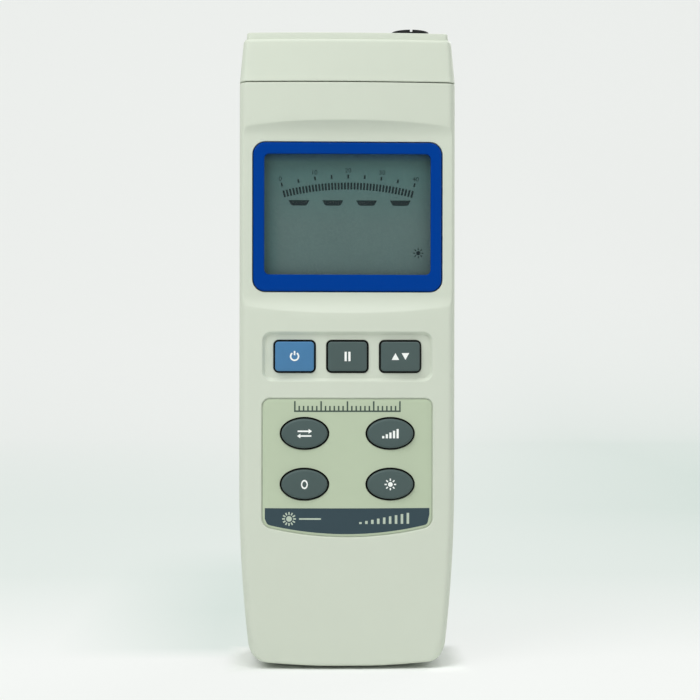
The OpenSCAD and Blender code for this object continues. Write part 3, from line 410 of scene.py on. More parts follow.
def shell(outer, inner, faces):
    """Closed shell between two sheets with the same faces, joined along every open edge."""
    count = len(outer)
    sides = np.stack([faces, np.roll(faces, -1, 1)], -1).reshape(-1, 2)
    back = faces[:, ::-1] + count
    return np.concatenate([outer, inner]), [*faces.tolist(), *back.tolist(), *walls(sides, count)]


def piece(name, points, faces, coat, body, slot, replaces=(), sharp=35, under=None):
    """Object of a merged mesh with outward faces, smooth but for edges sharper than an angle, on a body.
    A second finish and the faces that take it may be given."""
    mesh = bpy.data.meshes.new(name)
    mesh.from_pydata(np.asarray(points).tolist(), [], [list(f) for f in faces])
    mesh.materials.append(Finishes.get(coat))
    if under:
        mesh.materials.append(Finishes.get(under[0]))
        mesh.polygons.foreach_set("material_index", under[1].astype(np.int32))
    work = bmesh.new()
    work.from_mesh(mesh)
    bmesh.ops.remove_doubles(work, verts=work.verts, dist=WELD)
    bmesh.ops.dissolve_degenerate(work, edges=work.edges, dist=LEAST_EDGE)
    bmesh.ops.recalc_face_normals(work, faces=work.faces)
    work.to_mesh(mesh)
    work.free()
    mesh.polygons.foreach_set("use_smooth", np.ones(len(mesh.polygons), bool))
    mesh.set_sharp_from_angle(angle=math.radians(sharp))
    obj = bpy.data.objects.new(name, mesh)
    bpy.context.scene.collection.objects.link(obj)
    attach(obj, body)
    if replaces:
        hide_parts(*replaces)
    return obj


def vertex_places(mesh):
    """Places of a mesh's vertices, one row each."""
    points = np.empty(len(mesh.vertices) * 3)
    mesh.vertices.foreach_get("co", points)
    return points.reshape(-1, 3)


def dressed(node, coat, body, slot, edge, sharp=30):
    """Merged copy of a CAD node with its edges broken by a small bevel, whose width is in millimetres."""
    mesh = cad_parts[node].data
    faces = np.empty(len(mesh.loops), int)
    mesh.loops.foreach_get("vertex_index", faces)
    obj = piece(node + "_form", vertex_places(mesh), faces.reshape(-1, 3), coat, body, slot, (node,), sharp)
    work = bmesh.new()
    work.from_mesh(obj.data)
    bmesh.ops.dissolve_limit(work, angle_limit=math.radians(1), verts=work.verts, edges=work.edges)
    work.to_mesh(obj.data)
    work.free()
    bevel = obj.modifiers.new("Broken edges", "BEVEL")
    bevel.width, bevel.segments = edge * MM, 2
    bevel.limit_method, bevel.angle_limit = "ANGLE", math.radians(sharp)
    bevel.use_clamp_overlap = bevel.harden_normals = True


def finish(coat, *nodes):
    """Give CAD nodes a finish."""
    for node in nodes:
        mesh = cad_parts[node].data
        mesh.materials.clear()
        mesh.materials.append(Finishes.get(coat))


# Form of the case


class CaseForm:
    """Surfaces of the case, worked out from the frame's boxes and the settings."""

    side_turn = math.radians(50)  # where the front face ends and the band round the edges begins
    rear_draft = math.radians(1.5)  # lean of the sides behind the parting line
    band_rows = np.array([6, 3, 1.0, 0.5, 0.3, 0.1, 0]) * MM  # of the straight run, before the parting line
    fine_step, wide_step = 1.2 * MM, 1.5 * MM  # between points along straight edges
    least_edge, least_rear_r = 0.8 * MM, 1 * MM  # of the plan's roundings at a large inset
    seam_rim = 1 * MM  # depth of the rounded rim beside the seam

    def __init__(self, scene):
        self.s, self.f = scene.meter_case, scene.meter_face
        self.k, self.d = scene.meter_keys, scene.meter_display
        low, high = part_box("front_shell")
        self.half, self.front, self.top = high.x, low.y, high.z
        self.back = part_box("rear_shell")[1].y
        edge_x = self.half - self.s.lean - self.s.edge_w
        self.radius = (edge_x**2 + self.s.crown_rise**2) / (2 * self.s.crown_rise)
        self.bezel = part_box("display_bezel")
        self.recess_y = self.front + self.f.recess_d
        self.recess_top = self.bezel[1].z + self.f.recess_top_margin
        self.recess_low = self.bezel[0].z - self.f.recess_low_margin
        self.cove_top = self.recess_top - self.f.cove_top_run
        self.cove_low = self.recess_low + self.f.cove_low_run
        self.top_r = (self.f.cove_top_run**2 + self.f.recess_d**2) / (2 * self.f.recess_d)
        self.low_r = (self.f.cove_low_run**2 + self.f.recess_d**2) / (2 * self.f.recess_d)
        self.pocket_z = self.key_place("hold")[1]
        low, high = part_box("panel_overlay")
        self.panel_half = high.x + self.f.panel_margin
        self.panel_top = high.z + self.f.panel_margin
        self.panel_low = low.z - self.f.panel_margin
        self.panel_arc_r = (self.panel_half**2 + self.f.panel_bow**2) / (2 * self.f.panel_bow)

    def key_place(self, name):
        """Middle (x, z) and cap size (w, h) of a key, from its node without the flange."""
        low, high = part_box(name + "_key")
        spare = 2 * self.k.flange_w
        return (low.x + high.x) / 2, (low.z + high.z) / 2, high.x - low.x - spare, high.z - low.z - spare

    def half_width(self, z):
        """Half width at the parting line: even, and drawn in with the square of the depth below a height."""
        depth = np.clip(1 - z / self.s.taper_start, 0, None)
        return self.half - self.s.foot_taper * depth * depth

    def crown(self, x):
        """Depth of the crowned front: a circle arc across the width."""
        return self.front + self.radius - np.sqrt(self.radius**2 - x * x)

    def outside(self, x, z):
        """The crown, which turns over each long edge in a quarter of an ellipse."""
        start = self.half_width(z) - self.s.lean - self.s.edge_w
        across = np.clip((np.abs(x) - start) / self.s.edge_w, 0, 1)
        end = start + self.s.edge_w
        fall = self.s.edge_d - self.crown(end) + self.crown(start)
        return self.crown(np.minimum(np.abs(x), end)) + fall * (1 - np.sqrt(1 - across * across))

    def recess(self, z):
        """Depth of the display recess: a flat floor that rises at both ends in a circle arc."""
        up = np.clip(z - self.cove_top, 0, self.top_r)
        down = np.clip(self.cove_low - z, 0, self.low_r)
        rise = self.top_r - np.sqrt(self.top_r**2 - up**2) + self.low_r - np.sqrt(self.low_r**2 - down**2)
        return self.recess_y - rise

    def pocket_inset(self, x, z):
        """Distance inside the outline of the upper key pocket."""
        return rounded_inset(x, z, self.f.pocket_w, self.f.pocket_h, self.f.pocket_r, self.pocket_z)

    def panel_inset(self, x, z):
        """Distance inside the lower panel: straight sides and top, and a wide arc below."""
        side = np.abs(x) - self.panel_half
        low = np.hypot(x, z - self.panel_low - self.panel_arc_r) - self.panel_arc_r
        upper = meet(side, z - self.panel_top, self.f.panel_r)
        return -np.maximum(upper, meet(side, low, self.f.panel_r))

    def front_face(self, x, z):
        """Depth of the whole front: the outside with its pocket and panel sunk in, softly joined to the
        recess by taking the larger depth."""
        f = self.f
        pocket = f.pocket_d * soft_step(self.pocket_inset(x, z), f.pocket_slope, f.pocket_soft)
        panel = f.panel_d * soft_step(self.panel_inset(x, z), f.panel_slope, f.soft / 2)
        depth = soft_max(self.outside(x, z) + pocket + panel, self.recess(z), f.soft)
        return depth + fillet(self.top - z, self.s.seam_r)

    def oval_holes(self, gap):
        """Outlines round the oval keys at a gap."""
        places = [self.key_place(name) for name in OVAL_KEYS]
        return [oval(w + 2 * gap, h + 2 * gap, z, x) for x, z, w, h in places]

    def pocket_loop(self, inset):
        """Outline of the upper key pocket at an inset."""
        w, h, r = self.f.pocket_w - 2 * inset, self.f.pocket_h - 2 * inset, self.f.pocket_r - inset
        return closed(rounded(w, h, r, self.pocket_z, corner=10), step=self.fine_step)

    def panel_loop(self, inset, corner=10):
        """Outline of the lower panel at an inset: the line where panel_inset has that value."""
        r = self.f.panel_r
        turn = np.radians(np.linspace(0, 90, corner + 1))
        x = self.panel_half - r + (r - inset) * np.cos(turn)
        reach = self.panel_arc_r - r + (r - inset) * np.sin(turn)
        z = self.panel_low + self.panel_arc_r - np.sqrt(reach**2 - x**2)
        wide = x[-1] * np.linspace(1, -1, 25)[1:-1]
        base = self.panel_low + self.panel_arc_r - np.sqrt((self.panel_arc_r - inset) ** 2 - wide**2)
        side, high = self.panel_half - r, self.panel_top - r
        return closed(
            arc(side, high, r - inset, 0, 90, corner),
            arc(-side, high, r - inset, 90, 180, corner),
            np.stack([-x, z], -1),
            np.stack([-wide, base], -1),
            np.stack([x, z], -1)[::-1],
            step=self.wide_step,
        )

    def recess_loop(self):
        """Edge of the display recess, where the outside and the recess have the same depth."""
        edge = math.sqrt(1 - (1 - (self.recess_y - self.outside(self.start_x, self.top)) / self.fall) ** 2)
        reach = self.start_x + self.s.edge_w * edge
        just_inside = 0.9999
        x = reach * just_inside * np.sin(np.linspace(-np.pi / 2, np.pi / 2, 90))
        rise = np.clip(self.recess_y - self.outside(x, self.top), 0, None)
        upper = self.cove_top + np.sqrt(self.top_r**2 - (self.top_r - rise) ** 2)
        lower = self.cove_low - np.sqrt(self.low_r**2 - (self.low_r - rise) ** 2)
        return closed(np.stack([x, lower], -1), np.stack([x, upper], -1)[::-1], step=self.fine_step)

    @property
    def start_x(self):
        """Where the long edges start to turn over, above the foot."""
        return self.half - self.s.lean - self.s.edge_w

    @property
    def fall(self):
        """Depth through which the long edges turn over, beyond the crown's own fall."""
        return self.s.edge_d - self.crown(self.start_x + self.s.edge_w) + self.crown(self.start_x)

    def outline(self):
        """Right half of the front view from the seam down to the middle of the base: points, inward normals
        and a share that goes from 0 on the side to 1 on the base."""
        s = self.s
        slope = 2 * s.foot_taper / s.taper_start
        zc = s.foot_corner_r * 1.2
        for _ in range(3):
            side_angle = math.atan(slope * (1 - zc / s.taper_start))
            cx = self.half_width(zc) - s.foot_corner_r / math.cos(side_angle)
            base_angle = math.atan(cx / s.base_curve_r)
            zc = cx**2 / (2 * s.base_curve_r) - s.base_flat + s.foot_corner_r / math.cos(base_angle)
        swing = np.cos(np.linspace(0, np.pi, 19)) * self.jack_chord
        rows = np.concatenate([
            self.top - s.seam_r * SEAM_TURN,
            np.linspace(self.top - self.seam_rim, zc - s.foot_corner_r * math.sin(side_angle), 116),
            *[box_middle(jack)[2] + swing for jack in JACKS],
        ])
        rows = np.sort(rows)[::-1]
        rows = rows[np.concatenate([[True], -np.diff(rows) > 0.01 * MM])]
        side = np.stack([self.half_width(rows), rows], -1)
        turn = np.linspace(-side_angle, -np.pi / 2 + base_angle, 17)[1:]
        corner = np.stack([cx + s.foot_corner_r * np.cos(turn), zc + s.foot_corner_r * np.sin(turn)], -1)
        x = np.linspace(corner[-1, 0], 0, 24)[1:]
        base = np.stack([x, np.maximum(x**2 / (2 * s.base_curve_r) - s.base_flat, 0)], -1)
        normals = np.concatenate([
            np.tile([-1.0, 0.0], (len(side), 1)),
            -np.stack([np.cos(turn), np.sin(turn)], -1),
            np.tile([0.0, 1.0], (len(base), 1)),
        ])
        ease = np.linspace(0, 1, len(corner) + 1)[1:]
        share = np.concatenate([np.zeros(len(side)), ease * ease * (3 - 2 * ease), np.ones(len(base))])
        return np.concatenate([side, corner, base]), normals, share

    @property
    def jack_y(self):
        """Depth of the jacks' axis, behind the parting line."""
        return box_middle("data_jack")[1]

    @property
    def jack_chord(self):
        """Half length of a jack hole along the parting line."""
        return math.sqrt(self.s.jack_hole_r**2 - self.jack_y**2)

    def band(self, points, normals, share, right):
        """Band from the front face round the long edges and the base to the parting line, and its inner side.
        A profile is carried along the outline: the rest of the edge's ellipse on the sides, a quarter circle
        at the base, a blend of both round the corners, and then a straight run back."""
        s = self.s
        turn = np.linspace(self.side_turn, np.pi / 2, 8)
        side_inset = s.lean + s.edge_w * (1 - np.sin(turn))
        x_side = self.half - side_inset
        side_depth = self.outside(x_side, self.top) - self.outside(x_side[0], self.top)
        quarter = np.linspace(0, np.pi / 2, 8)
        base_inset = s.base_edge_r * (1 - np.sin(quarter))
        base_depth = s.base_edge_r * (1 - np.cos(quarter))
        w = share[:, None]
        inset = (1 - w) * side_inset + w * base_inset
        first = points + normals * inset[:, :1]
        depth = self.outside(first[:, 0], first[:, 1])[:, None] + (1 - w) * side_depth + w * base_depth
        end = np.zeros((len(points), 1))
        if right:
            for jack in JACKS:
                away = np.abs(points[:, 1] - box_middle(jack)[2])
                notch = self.jack_y - np.sqrt(np.clip(self.s.jack_hole_r**2 - away**2, 0, None))
                cut = (away < self.jack_chord) & (points[:, 0] > 0) & (share == 0)
                end[cut, 0] = np.minimum(notch[cut], 0)
        run_depth = end - self.band_rows
        run_share = (run_depth - depth[:, -1:]) / -depth[:, -1:]
        run_inset = inset[:, -1:] * (1 - run_share) + fillet(self.band_rows, s.seam_r)
        inset = np.concatenate([inset, run_inset], 1)
        depth = np.concatenate([depth, run_depth], 1)
        seam = fillet(self.top - points[:, 1], s.seam_r)[:, None]
        lean = np.concatenate([turn, np.full(len(self.band_rows), np.pi / 2)])
        outer_inset = inset + seam * np.sin(lean)
        outer_depth = depth + seam * np.cos(lean)
        outer = upright(points[:, None] + normals[:, None] * outer_inset[..., None], outer_depth)
        along = np.linspace(0, 1, inset.shape[1])
        inner_inset = inset[:, :1] * (1 - along) + s.wall * along
        inner_depth = (depth[:, :1] + s.skin) * (1 - along) + end * along
        inner = upright(points[:, None] + normals[:, None] * inner_inset[..., None], inner_depth)
        inner[:, 0, 1] = outer[:, 0, 1] + s.skin
        return outer, inner

    def plan_loop(self, inset):
        """Plan of the case at an inset, counter-clockwise seen from above: crowned front, two edge ellipses,
        leaning sides, two rear quarter circles and a flat back."""
        s = self.s
        cw, cd = max(s.edge_w - inset / 2, self.least_edge), max(s.edge_d - inset, self.least_edge)
        xe = self.half - inset - s.lean - cw
        base = self.crown(xe) + inset
        turn = np.linspace(0, np.pi / 2, 11)
        x = xe + cw * np.sin(turn)
        fall = cd - self.crown(xe + cw) + self.crown(xe)
        edge = np.stack([x, self.crown(x) + inset + fall * (1 - np.cos(turn))], -1)
        front_x = np.linspace(-xe, xe, 41)[1:-1]
        front = np.stack([front_x, self.crown(front_x) + inset], -1)
        r = max(s.rear_edge_r - inset, self.least_rear_r)
        xc = self.half - inset - math.tan(self.rear_draft) * (self.back - s.rear_edge_r) - r
        yc = self.back - inset - r
        side_y = np.linspace(base + cd, 0, 9)[1:]
        side_x = np.linspace(xe + cw, self.half - inset, 9)[1:]
        rear_y = np.linspace(0, yc, 7)[1:-1]
        rear_x = np.linspace(self.half - inset, xc + r, 7)[1:-1]
        side = np.stack([np.concatenate([side_x, rear_x]), np.concatenate([side_y, rear_y])], -1)
        mirror = np.array([-1, 1])
        back_x = np.linspace(xc, -xc, 21)[1:-1]
        return np.concatenate([
            front, edge, side, arc(xc, yc, r, 0, 90, 9),
            np.stack([back_x, np.full(len(back_x), self.back - inset)], -1),
            arc(-xc, yc, r, 90, 180, 9), (side * mirror)[::-1], (edge * mirror)[::-1],
        ])


# Shader maths


class Field:
    """A node socket that takes part in Python arithmetic; each operation adds a Math node."""

    def __init__(self, paint, socket):
        self.paint, self.socket = paint, socket

    def _math(self, operation, a, b):
        return self.paint.node("ShaderNodeMath", {"operation": operation}, {0: a, 1: b})

    def __add__(self, other):
        return self._math("ADD", self, other)

    def __sub__(self, other):
        return self._math("SUBTRACT", self, other)

    def __rsub__(self, other):
        return self._math("SUBTRACT", other, self)

    def __mul__(self, other):
        return self._math("MULTIPLY", self, other)

    __radd__ = __add__
    __rmul__ = __mul__

    def __abs__(self):
        return self._math("ABSOLUTE", self, 0)

    def largest(self, other):
        """Larger of this value and another."""
        return self._math("MAXIMUM", self, other)

    def sibling(self, output):
        """Another output of the same node."""
        return Field(self.paint, self.socket.node.outputs[output])


class NodeTree:
    """The nodes of a material or of the world, under construction."""

    def __init__(self, tree):
        self.tree = tree

    def node(self, kind, settings=None, sockets=None, output=0):
        """New node with its settings, then the values or links of its sockets; gives an output as a Field."""
        node = self.tree.nodes.new(kind)
        for name, value in (settings or {}).items():
            if name == "stops":
                for stop, (position, tone) in zip(node.color_ramp.elements, value):
                    stop.position, stop.color = position, (*tone, 1)
            else:
                setattr(node, name, value)
        for name, value in (sockets or {}).items():
            self.feed(node.inputs[name], value)
        return Field(self, node.outputs[output])

    def feed(self, socket, value):
        """Link a Field to a socket, or set the socket's value."""
        if isinstance(value, Field):
            self.tree.links.new(value.socket, socket)
        else:
            socket.default_value = value

    def ramp(self, value, start, end):
        """Even rise from 0 where a value is at its start to 1 at its end."""
        return self.node("ShaderNodeMapRange", None, {"Value": value, "From Min": start, "From Max": end})

    def seen(self):
        """1 on rays from the camera, from reflections and through clear sheets, and 0 on all others."""
        camera = self.node("ShaderNodeLightPath", output="Is Camera Ray")
        return camera.largest(camera.sibling("Is Glossy Ray")).largest(camera.sibling("Is Transmission Ray"))


class Paint(NodeTree):
    """A material under construction, with its Principled shader."""

    def __init__(self, name, **constants):
        self.material = bpy.data.materials.new(name)
        self.material.use_nodes = True
        super().__init__(self.material.node_tree)
        self.shader = self.tree.nodes["Principled BSDF"]
        for socket, value in constants.items():
            self.shader.inputs[socket.replace("_", " ")].default_value = value
        self.place = self.node("ShaderNodeTexCoord", output="Object")

    def shade(self, **inputs):
        """Feed inputs of the Principled shader."""
        for name, value in inputs.items():
            self.feed(self.shader.inputs[name.replace("_", " ")], value)
        return self

    def noise(self, size, detail=2.0, roughness=0.5):
        """Noise with grains of about a size, from 0 to 1."""
        sockets = {"Vector": self.place, "Scale": 1 / size, "Detail": detail, "Roughness": roughness}
        return self.node("ShaderNodeTexNoise", {"noise_dimensions": "3D"}, sockets)

    def blend(self, factor, a, b):
        """Colour between a and b, which are tones or colours made before."""
        a, b = (tone if isinstance(tone, Field) else (*tone, 1) for tone in (a, b))
        return self.node("ShaderNodeMix", {"data_type": "RGBA"}, {0: factor, 6: a, 7: b}, output=2)

    def bump(self, height, strength, distance):
        """Surface normal of a height field."""
        sockets = {"Height": height, "Strength": strength, "Distance": distance}
        return self.node("ShaderNodeBump", None, sockets, output="Normal")


def tones(tone, spread):
    """A darker and a lighter version of a colour."""
    base = np.array(tone[:3])
    return tuple(base * (1 - spread)), tuple(np.minimum(base * (1 + spread), 1))


def moulded(tone, name, roughness, grain, relief, spread, reflection):
    """Moulded plastic: a fine eroded grain in relief, slow drifts of tone and of gloss."""
    paint = Paint(name, Specular_IOR_Level=reflection)
    drift = paint.noise(14 * MM, 3.0)
    fine = paint.noise(grain * MM, 1.5, 0.6)
    low, high = tones(tone, spread)
    return paint.shade(
        Base_Color=paint.blend(drift * 0.7 + fine * 0.3, low, high),
        Roughness=roughness - 0.05 + fine * 0.06 + drift * 0.04,
        Normal=paint.bump(fine, relief, 0.02 * MM),
    ).material


def metal(tone, name, roughness, brushed):
    """Plated metal with fine brush lines along X."""
    paint = Paint(name, Metallic=1.0)
    along = {"Vector": paint.place, "Scale": (0.08, 1.0, 1.0)}
    stretched = paint.node("ShaderNodeMapping", {"vector_type": "POINT"}, along)
    pattern = {"Vector": stretched, "Scale": 1 / (brushed * MM), "Detail": 3.0}
    lines = paint.node("ShaderNodeTexNoise", None, pattern)
    low, high = tones(tone, 0.08)
    return paint.shade(
        Base_Color=paint.blend(lines, low, high),
        Roughness=roughness - 0.06 + lines * 0.12,
        Normal=paint.bump(lines, 0.15, 0.01 * MM),
    ).material


def ink(tone, name, roughness=0.5):
    """Printed ink with a slight unevenness."""
    paint = Paint(name, Specular_IOR_Level=0.2)
    speck = paint.noise(0.35 * MM, 2.0)
    low, high = tones(tone, 0.05)
    return paint.shade(Base_Color=paint.blend(speck, low, high), Roughness=roughness + speck * 0.08).material


def display_glass(tone, name):
    """Resting display: a fine grain of the polariser, with painted shade and a painted blue reflection of the
    frame above and on the left, and a painted shadow of the frame along the top.
    """
    corner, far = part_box("display_window")
    # Distances from the window's edge over which the painted shade and the painted shadow come in, from where
    # a tint starts to where it is full
    painted_cool_shade_top, painted_cool_shade_left, painted_shadow_top = (24 * MM, 8 * MM), (7 * MM, 2 * MM), (3.6 * MM, 1.4 * MM)
    paint = Paint(name, Specular_IOR_Level=0.15)
    grain = paint.noise(0.6 * MM, 2.0, 0.7)
    drift = paint.noise(18 * MM, 2.0)
    x = paint.node("ShaderNodeSeparateXYZ", None, {"Vector": paint.place})
    z = x.sibling("Z")
    # Painted shade with a painted blue reflection of the frame: darker and bluer towards the top and the left
    # edge
    painted_cool_shade = paint.ramp(z, *[far.z - d for d in painted_cool_shade_top])
    painted_cool_shade = painted_cool_shade.largest(paint.ramp(x, *[corner.x + d for d in painted_cool_shade_left]))
    # Painted shadow of the frame's top edge: a narrow strip under it, darker and bluer still
    under = paint.ramp(z, *[far.z - d for d in painted_shadow_top])
    base = np.array(tone[:3])
    # Tones: plain, painted cool shade, and painted shadow
    plain, painted_cool_tone, painted_shadow_tone = (
        paint.blend(grain * 0.85 + drift * 0.15, *tones(base * tint, 0.4))
        for tint in ((0.95, 1, 1), (0.75, 0.98, 0.98), (0.36, 0.62, 1))
    )
    return paint.shade(
        Base_Color=paint.blend(under, paint.blend(painted_cool_shade, plain, painted_cool_tone), painted_shadow_tone),
        Roughness=0.42 + grain * 0.1,
        Normal=paint.bump(grain, 0.08, 0.01 * MM),
    ).material


def clear_window(_, name):
    """Thin clear sheet: mostly see-through, with a faint sheen."""
    paint = Paint(name, IOR=1.49)
    wave = paint.noise(9 * MM, 1.0)
    return paint.shade(
        Base_Color=paint.blend(wave, (0.02, 0.03, 0.03), (0.03, 0.04, 0.04)),
        Roughness=0.06 + wave * 0.04,
        Alpha=0.05 + wave * 0.03,
    ).material


def circuit(tone, name):
    """Solder mask with a faint pattern of straight tracks under it."""
    paint = Paint(name)
    pattern = {"distance": "MANHATTAN", "feature": "DISTANCE_TO_EDGE"}
    cells = paint.node("ShaderNodeTexVoronoi", pattern, {"Vector": paint.place, "Scale": 1 / (3.2 * MM)})
    stops = [(0.03, (1, 1, 1)), (0.08, (0, 0, 0))]
    tracks = paint.node("ShaderNodeValToRGB", {"stops": stops}, {"Fac": cells})
    low, high = tones(tone, 0.25)
    return paint.shade(
        Base_Color=paint.blend(tracks, low, high),
        Roughness=0.35 + tracks * 0.1,
        Normal=paint.bump(tracks, 0.3, 0.02 * MM),
    ).material


class Finishes:
    """All finishes of the meter, made once."""

    # Plastics: roughness, grain in millimetres, its relief, spread of tone, strength of reflections.
    # Metals: roughness, width of the brush lines in millimetres.
    makers = {
        "case": (moulded, "Housing plastic", 0.52, 0.32, 0.22, 0.02, 0.4),
        "blue_frame": (moulded, "Blue frame plastic", 0.16, 0.5, 0.04, 0.05, 0.04),
        "blue_key": (moulded, "Blue key plastic", 0.42, 0.28, 0.2, 0.05, 0.18),
        "grey_key": (moulded, "Grey key plastic", 0.42, 0.28, 0.2, 0.05, 0.18),
        "overlay": (moulded, "Overlay film", 0.45, 0.22, 0.12, 0.025, 0.3),
        "black": (moulded, "Black plastic", 0.42, 0.3, 0.15, 0.1, 0.2),
        "rubber": (moulded, "Silicone rubber", 0.62, 0.3, 0.1, 0.06, 0.5),
        "strip": (moulded, "Conductive strip", 0.6, 0.25, 0.1, 0.1, 0.5),
        "sleeve": (moulded, "Cell sleeve", 0.3, 0.5, 0.05, 0.06, 0.5),
        "steel": (metal, "Plated steel", 0.32, 0.25),
        "brass": (metal, "Plated brass", 0.28, 0.2),
        "board": (circuit, "Circuit board"),
        "display": (display_glass, "Display glass"),
        "window": (clear_window, "Clear window"),
    }
    made = {}

    @classmethod
    def get(cls, name):
        """Finish by name, made from its colour setting on first use; a name without a maker is an ink."""
        if name not in cls.made:
            maker, *looks = cls.makers.get(name, (ink, name.capitalize() + " ink"))
            cls.made[name] = maker(getattr(bpy.context.scene.meter_colours, name, None), *looks)
        return cls.made[name]


# Printed marks


class Marks:
    """Flat marks drawn in the front view, which follow the surface under them."""

    font_size = 1.4  # size of the font for digits that are 1 high
    ray_gap = 0.9  # gap between a disc and its rays, as a share of a ray's width
    sunk = 0.3  # share of a film's thickness that lies under the surface

    def __init__(self):
        self.points, self.faces = [], []

    def add(self, points, faces):
        """Keep a mark's points and faces."""
        start = sum(map(len, self.points))
        self.points.append(np.asarray(points))
        self.faces += [[start + v for v in face] for face in faces]

    def polygon(self, outline):
        """One flat face inside an outline."""
        self.add(outline, [range(len(outline))])

    def strip(self, left, right, joined=False):
        """Ribbon between two lines of points, which may join up into a ring."""
        grid = np.stack([left, right], 1)
        self.add(grid.reshape(-1, 2), grid_faces(len(left), 2, rows_closed=joined).tolist())

    def bar(self, start, end, width, steps=3):
        """Straight bar from start to end."""
        start, end = np.asarray(start), np.asarray(end)
        along = (end - start) / np.linalg.norm(end - start)
        across = np.array([-along[1], along[0]]) * width / 2
        line = start + (end - start) * np.linspace(0, 1, steps)[:, None]
        self.strip(line + across, line - across)

    def ring(self, centre, inner, outer, start=0, end=360, wide=1.0, steps=40):
        """Ring or part of one, stretched in width."""
        whole = end - start == 360
        turn = np.radians(np.linspace(start, end, steps, endpoint=not whole))
        ray = np.stack([np.cos(turn) * wide, np.sin(turn)], -1)
        self.strip(centre + ray * outer, centre + ray * inner, whole)

    def block(self, centre, top, low, h, reach):
        """Block that is wider at its top, with its lower corners rounded over a reach."""
        corners = centre + np.array([[top, h], [-top, h], [-low, -h], [low, -h]]) / 2
        left = bend(corners[1], corners[2], corners[3], reach)
        right = bend(corners[2], corners[3], corners[0], reach)
        self.polygon(np.array([*corners[:2], *left, *right]))

    def triangle(self, centre, w, h):
        """Triangle on its base, or on its point where h is negative."""
        self.polygon(centre + np.array([[-w, -h], [w, -h], [0, h]]) / 2)

    def sun(self, centre, r, reach, width, rays=8):
        """Disc with rays round it."""
        self.polygon(oval(2 * r, 2 * r, centre[1], centre[0], steps=40))
        for turn in np.linspace(0, 2 * np.pi, rays, endpoint=False):
            ray = np.array([math.cos(turn), math.sin(turn)])
            self.bar(centre + ray * (r + width * self.ray_gap), centre + ray * reach, width, 2)

    def number(self, text, centre, h):
        """Plain digits, made from the built-in font as a mesh."""
        curve = bpy.data.curves.new("digits", "FONT")
        curve.body, curve.size, curve.align_x, curve.align_y = text, h * self.font_size, "CENTER", "CENTER"
        curve.resolution_u = 3
        obj = bpy.data.objects.new("digits", curve)
        mesh = bpy.data.meshes.new_from_object(obj)
        self.add(vertex_places(mesh)[:, :2] + centre, [face.vertices for face in mesh.polygons])
        bpy.data.objects.remove(obj)
        bpy.data.curves.remove(curve)
        bpy.data.meshes.remove(mesh)

    def put(self, name, surface, coat, body, slot, lift):
        """Lay the marks on a surface y(x, z) as a closed film of a thickness, sunk in by a share of it."""
        flat = np.concatenate(self.points)
        under, count = surface(*flat.T), len(flat)
        points = np.concatenate([upright(flat, under - lift), upright(flat, under + lift * self.sunk)])
        sides = np.array([pair for f in self.faces for pair in zip(f, f[1:] + f[:1])])
        back = [[v + count for v in reversed(f)] for f in self.faces]
        piece(name, points, self.faces + back + walls(sides, count), coat, body, slot)


# Operators


class MeterPart:
    """Shared behaviour of the operators that build a piece"""

    bl_options = {"REGISTER", "UNDO"}

    def execute(self, context):
        """Build the piece in the frame."""
        self.build(CaseForm(context.scene))
        return {"FINISHED"}


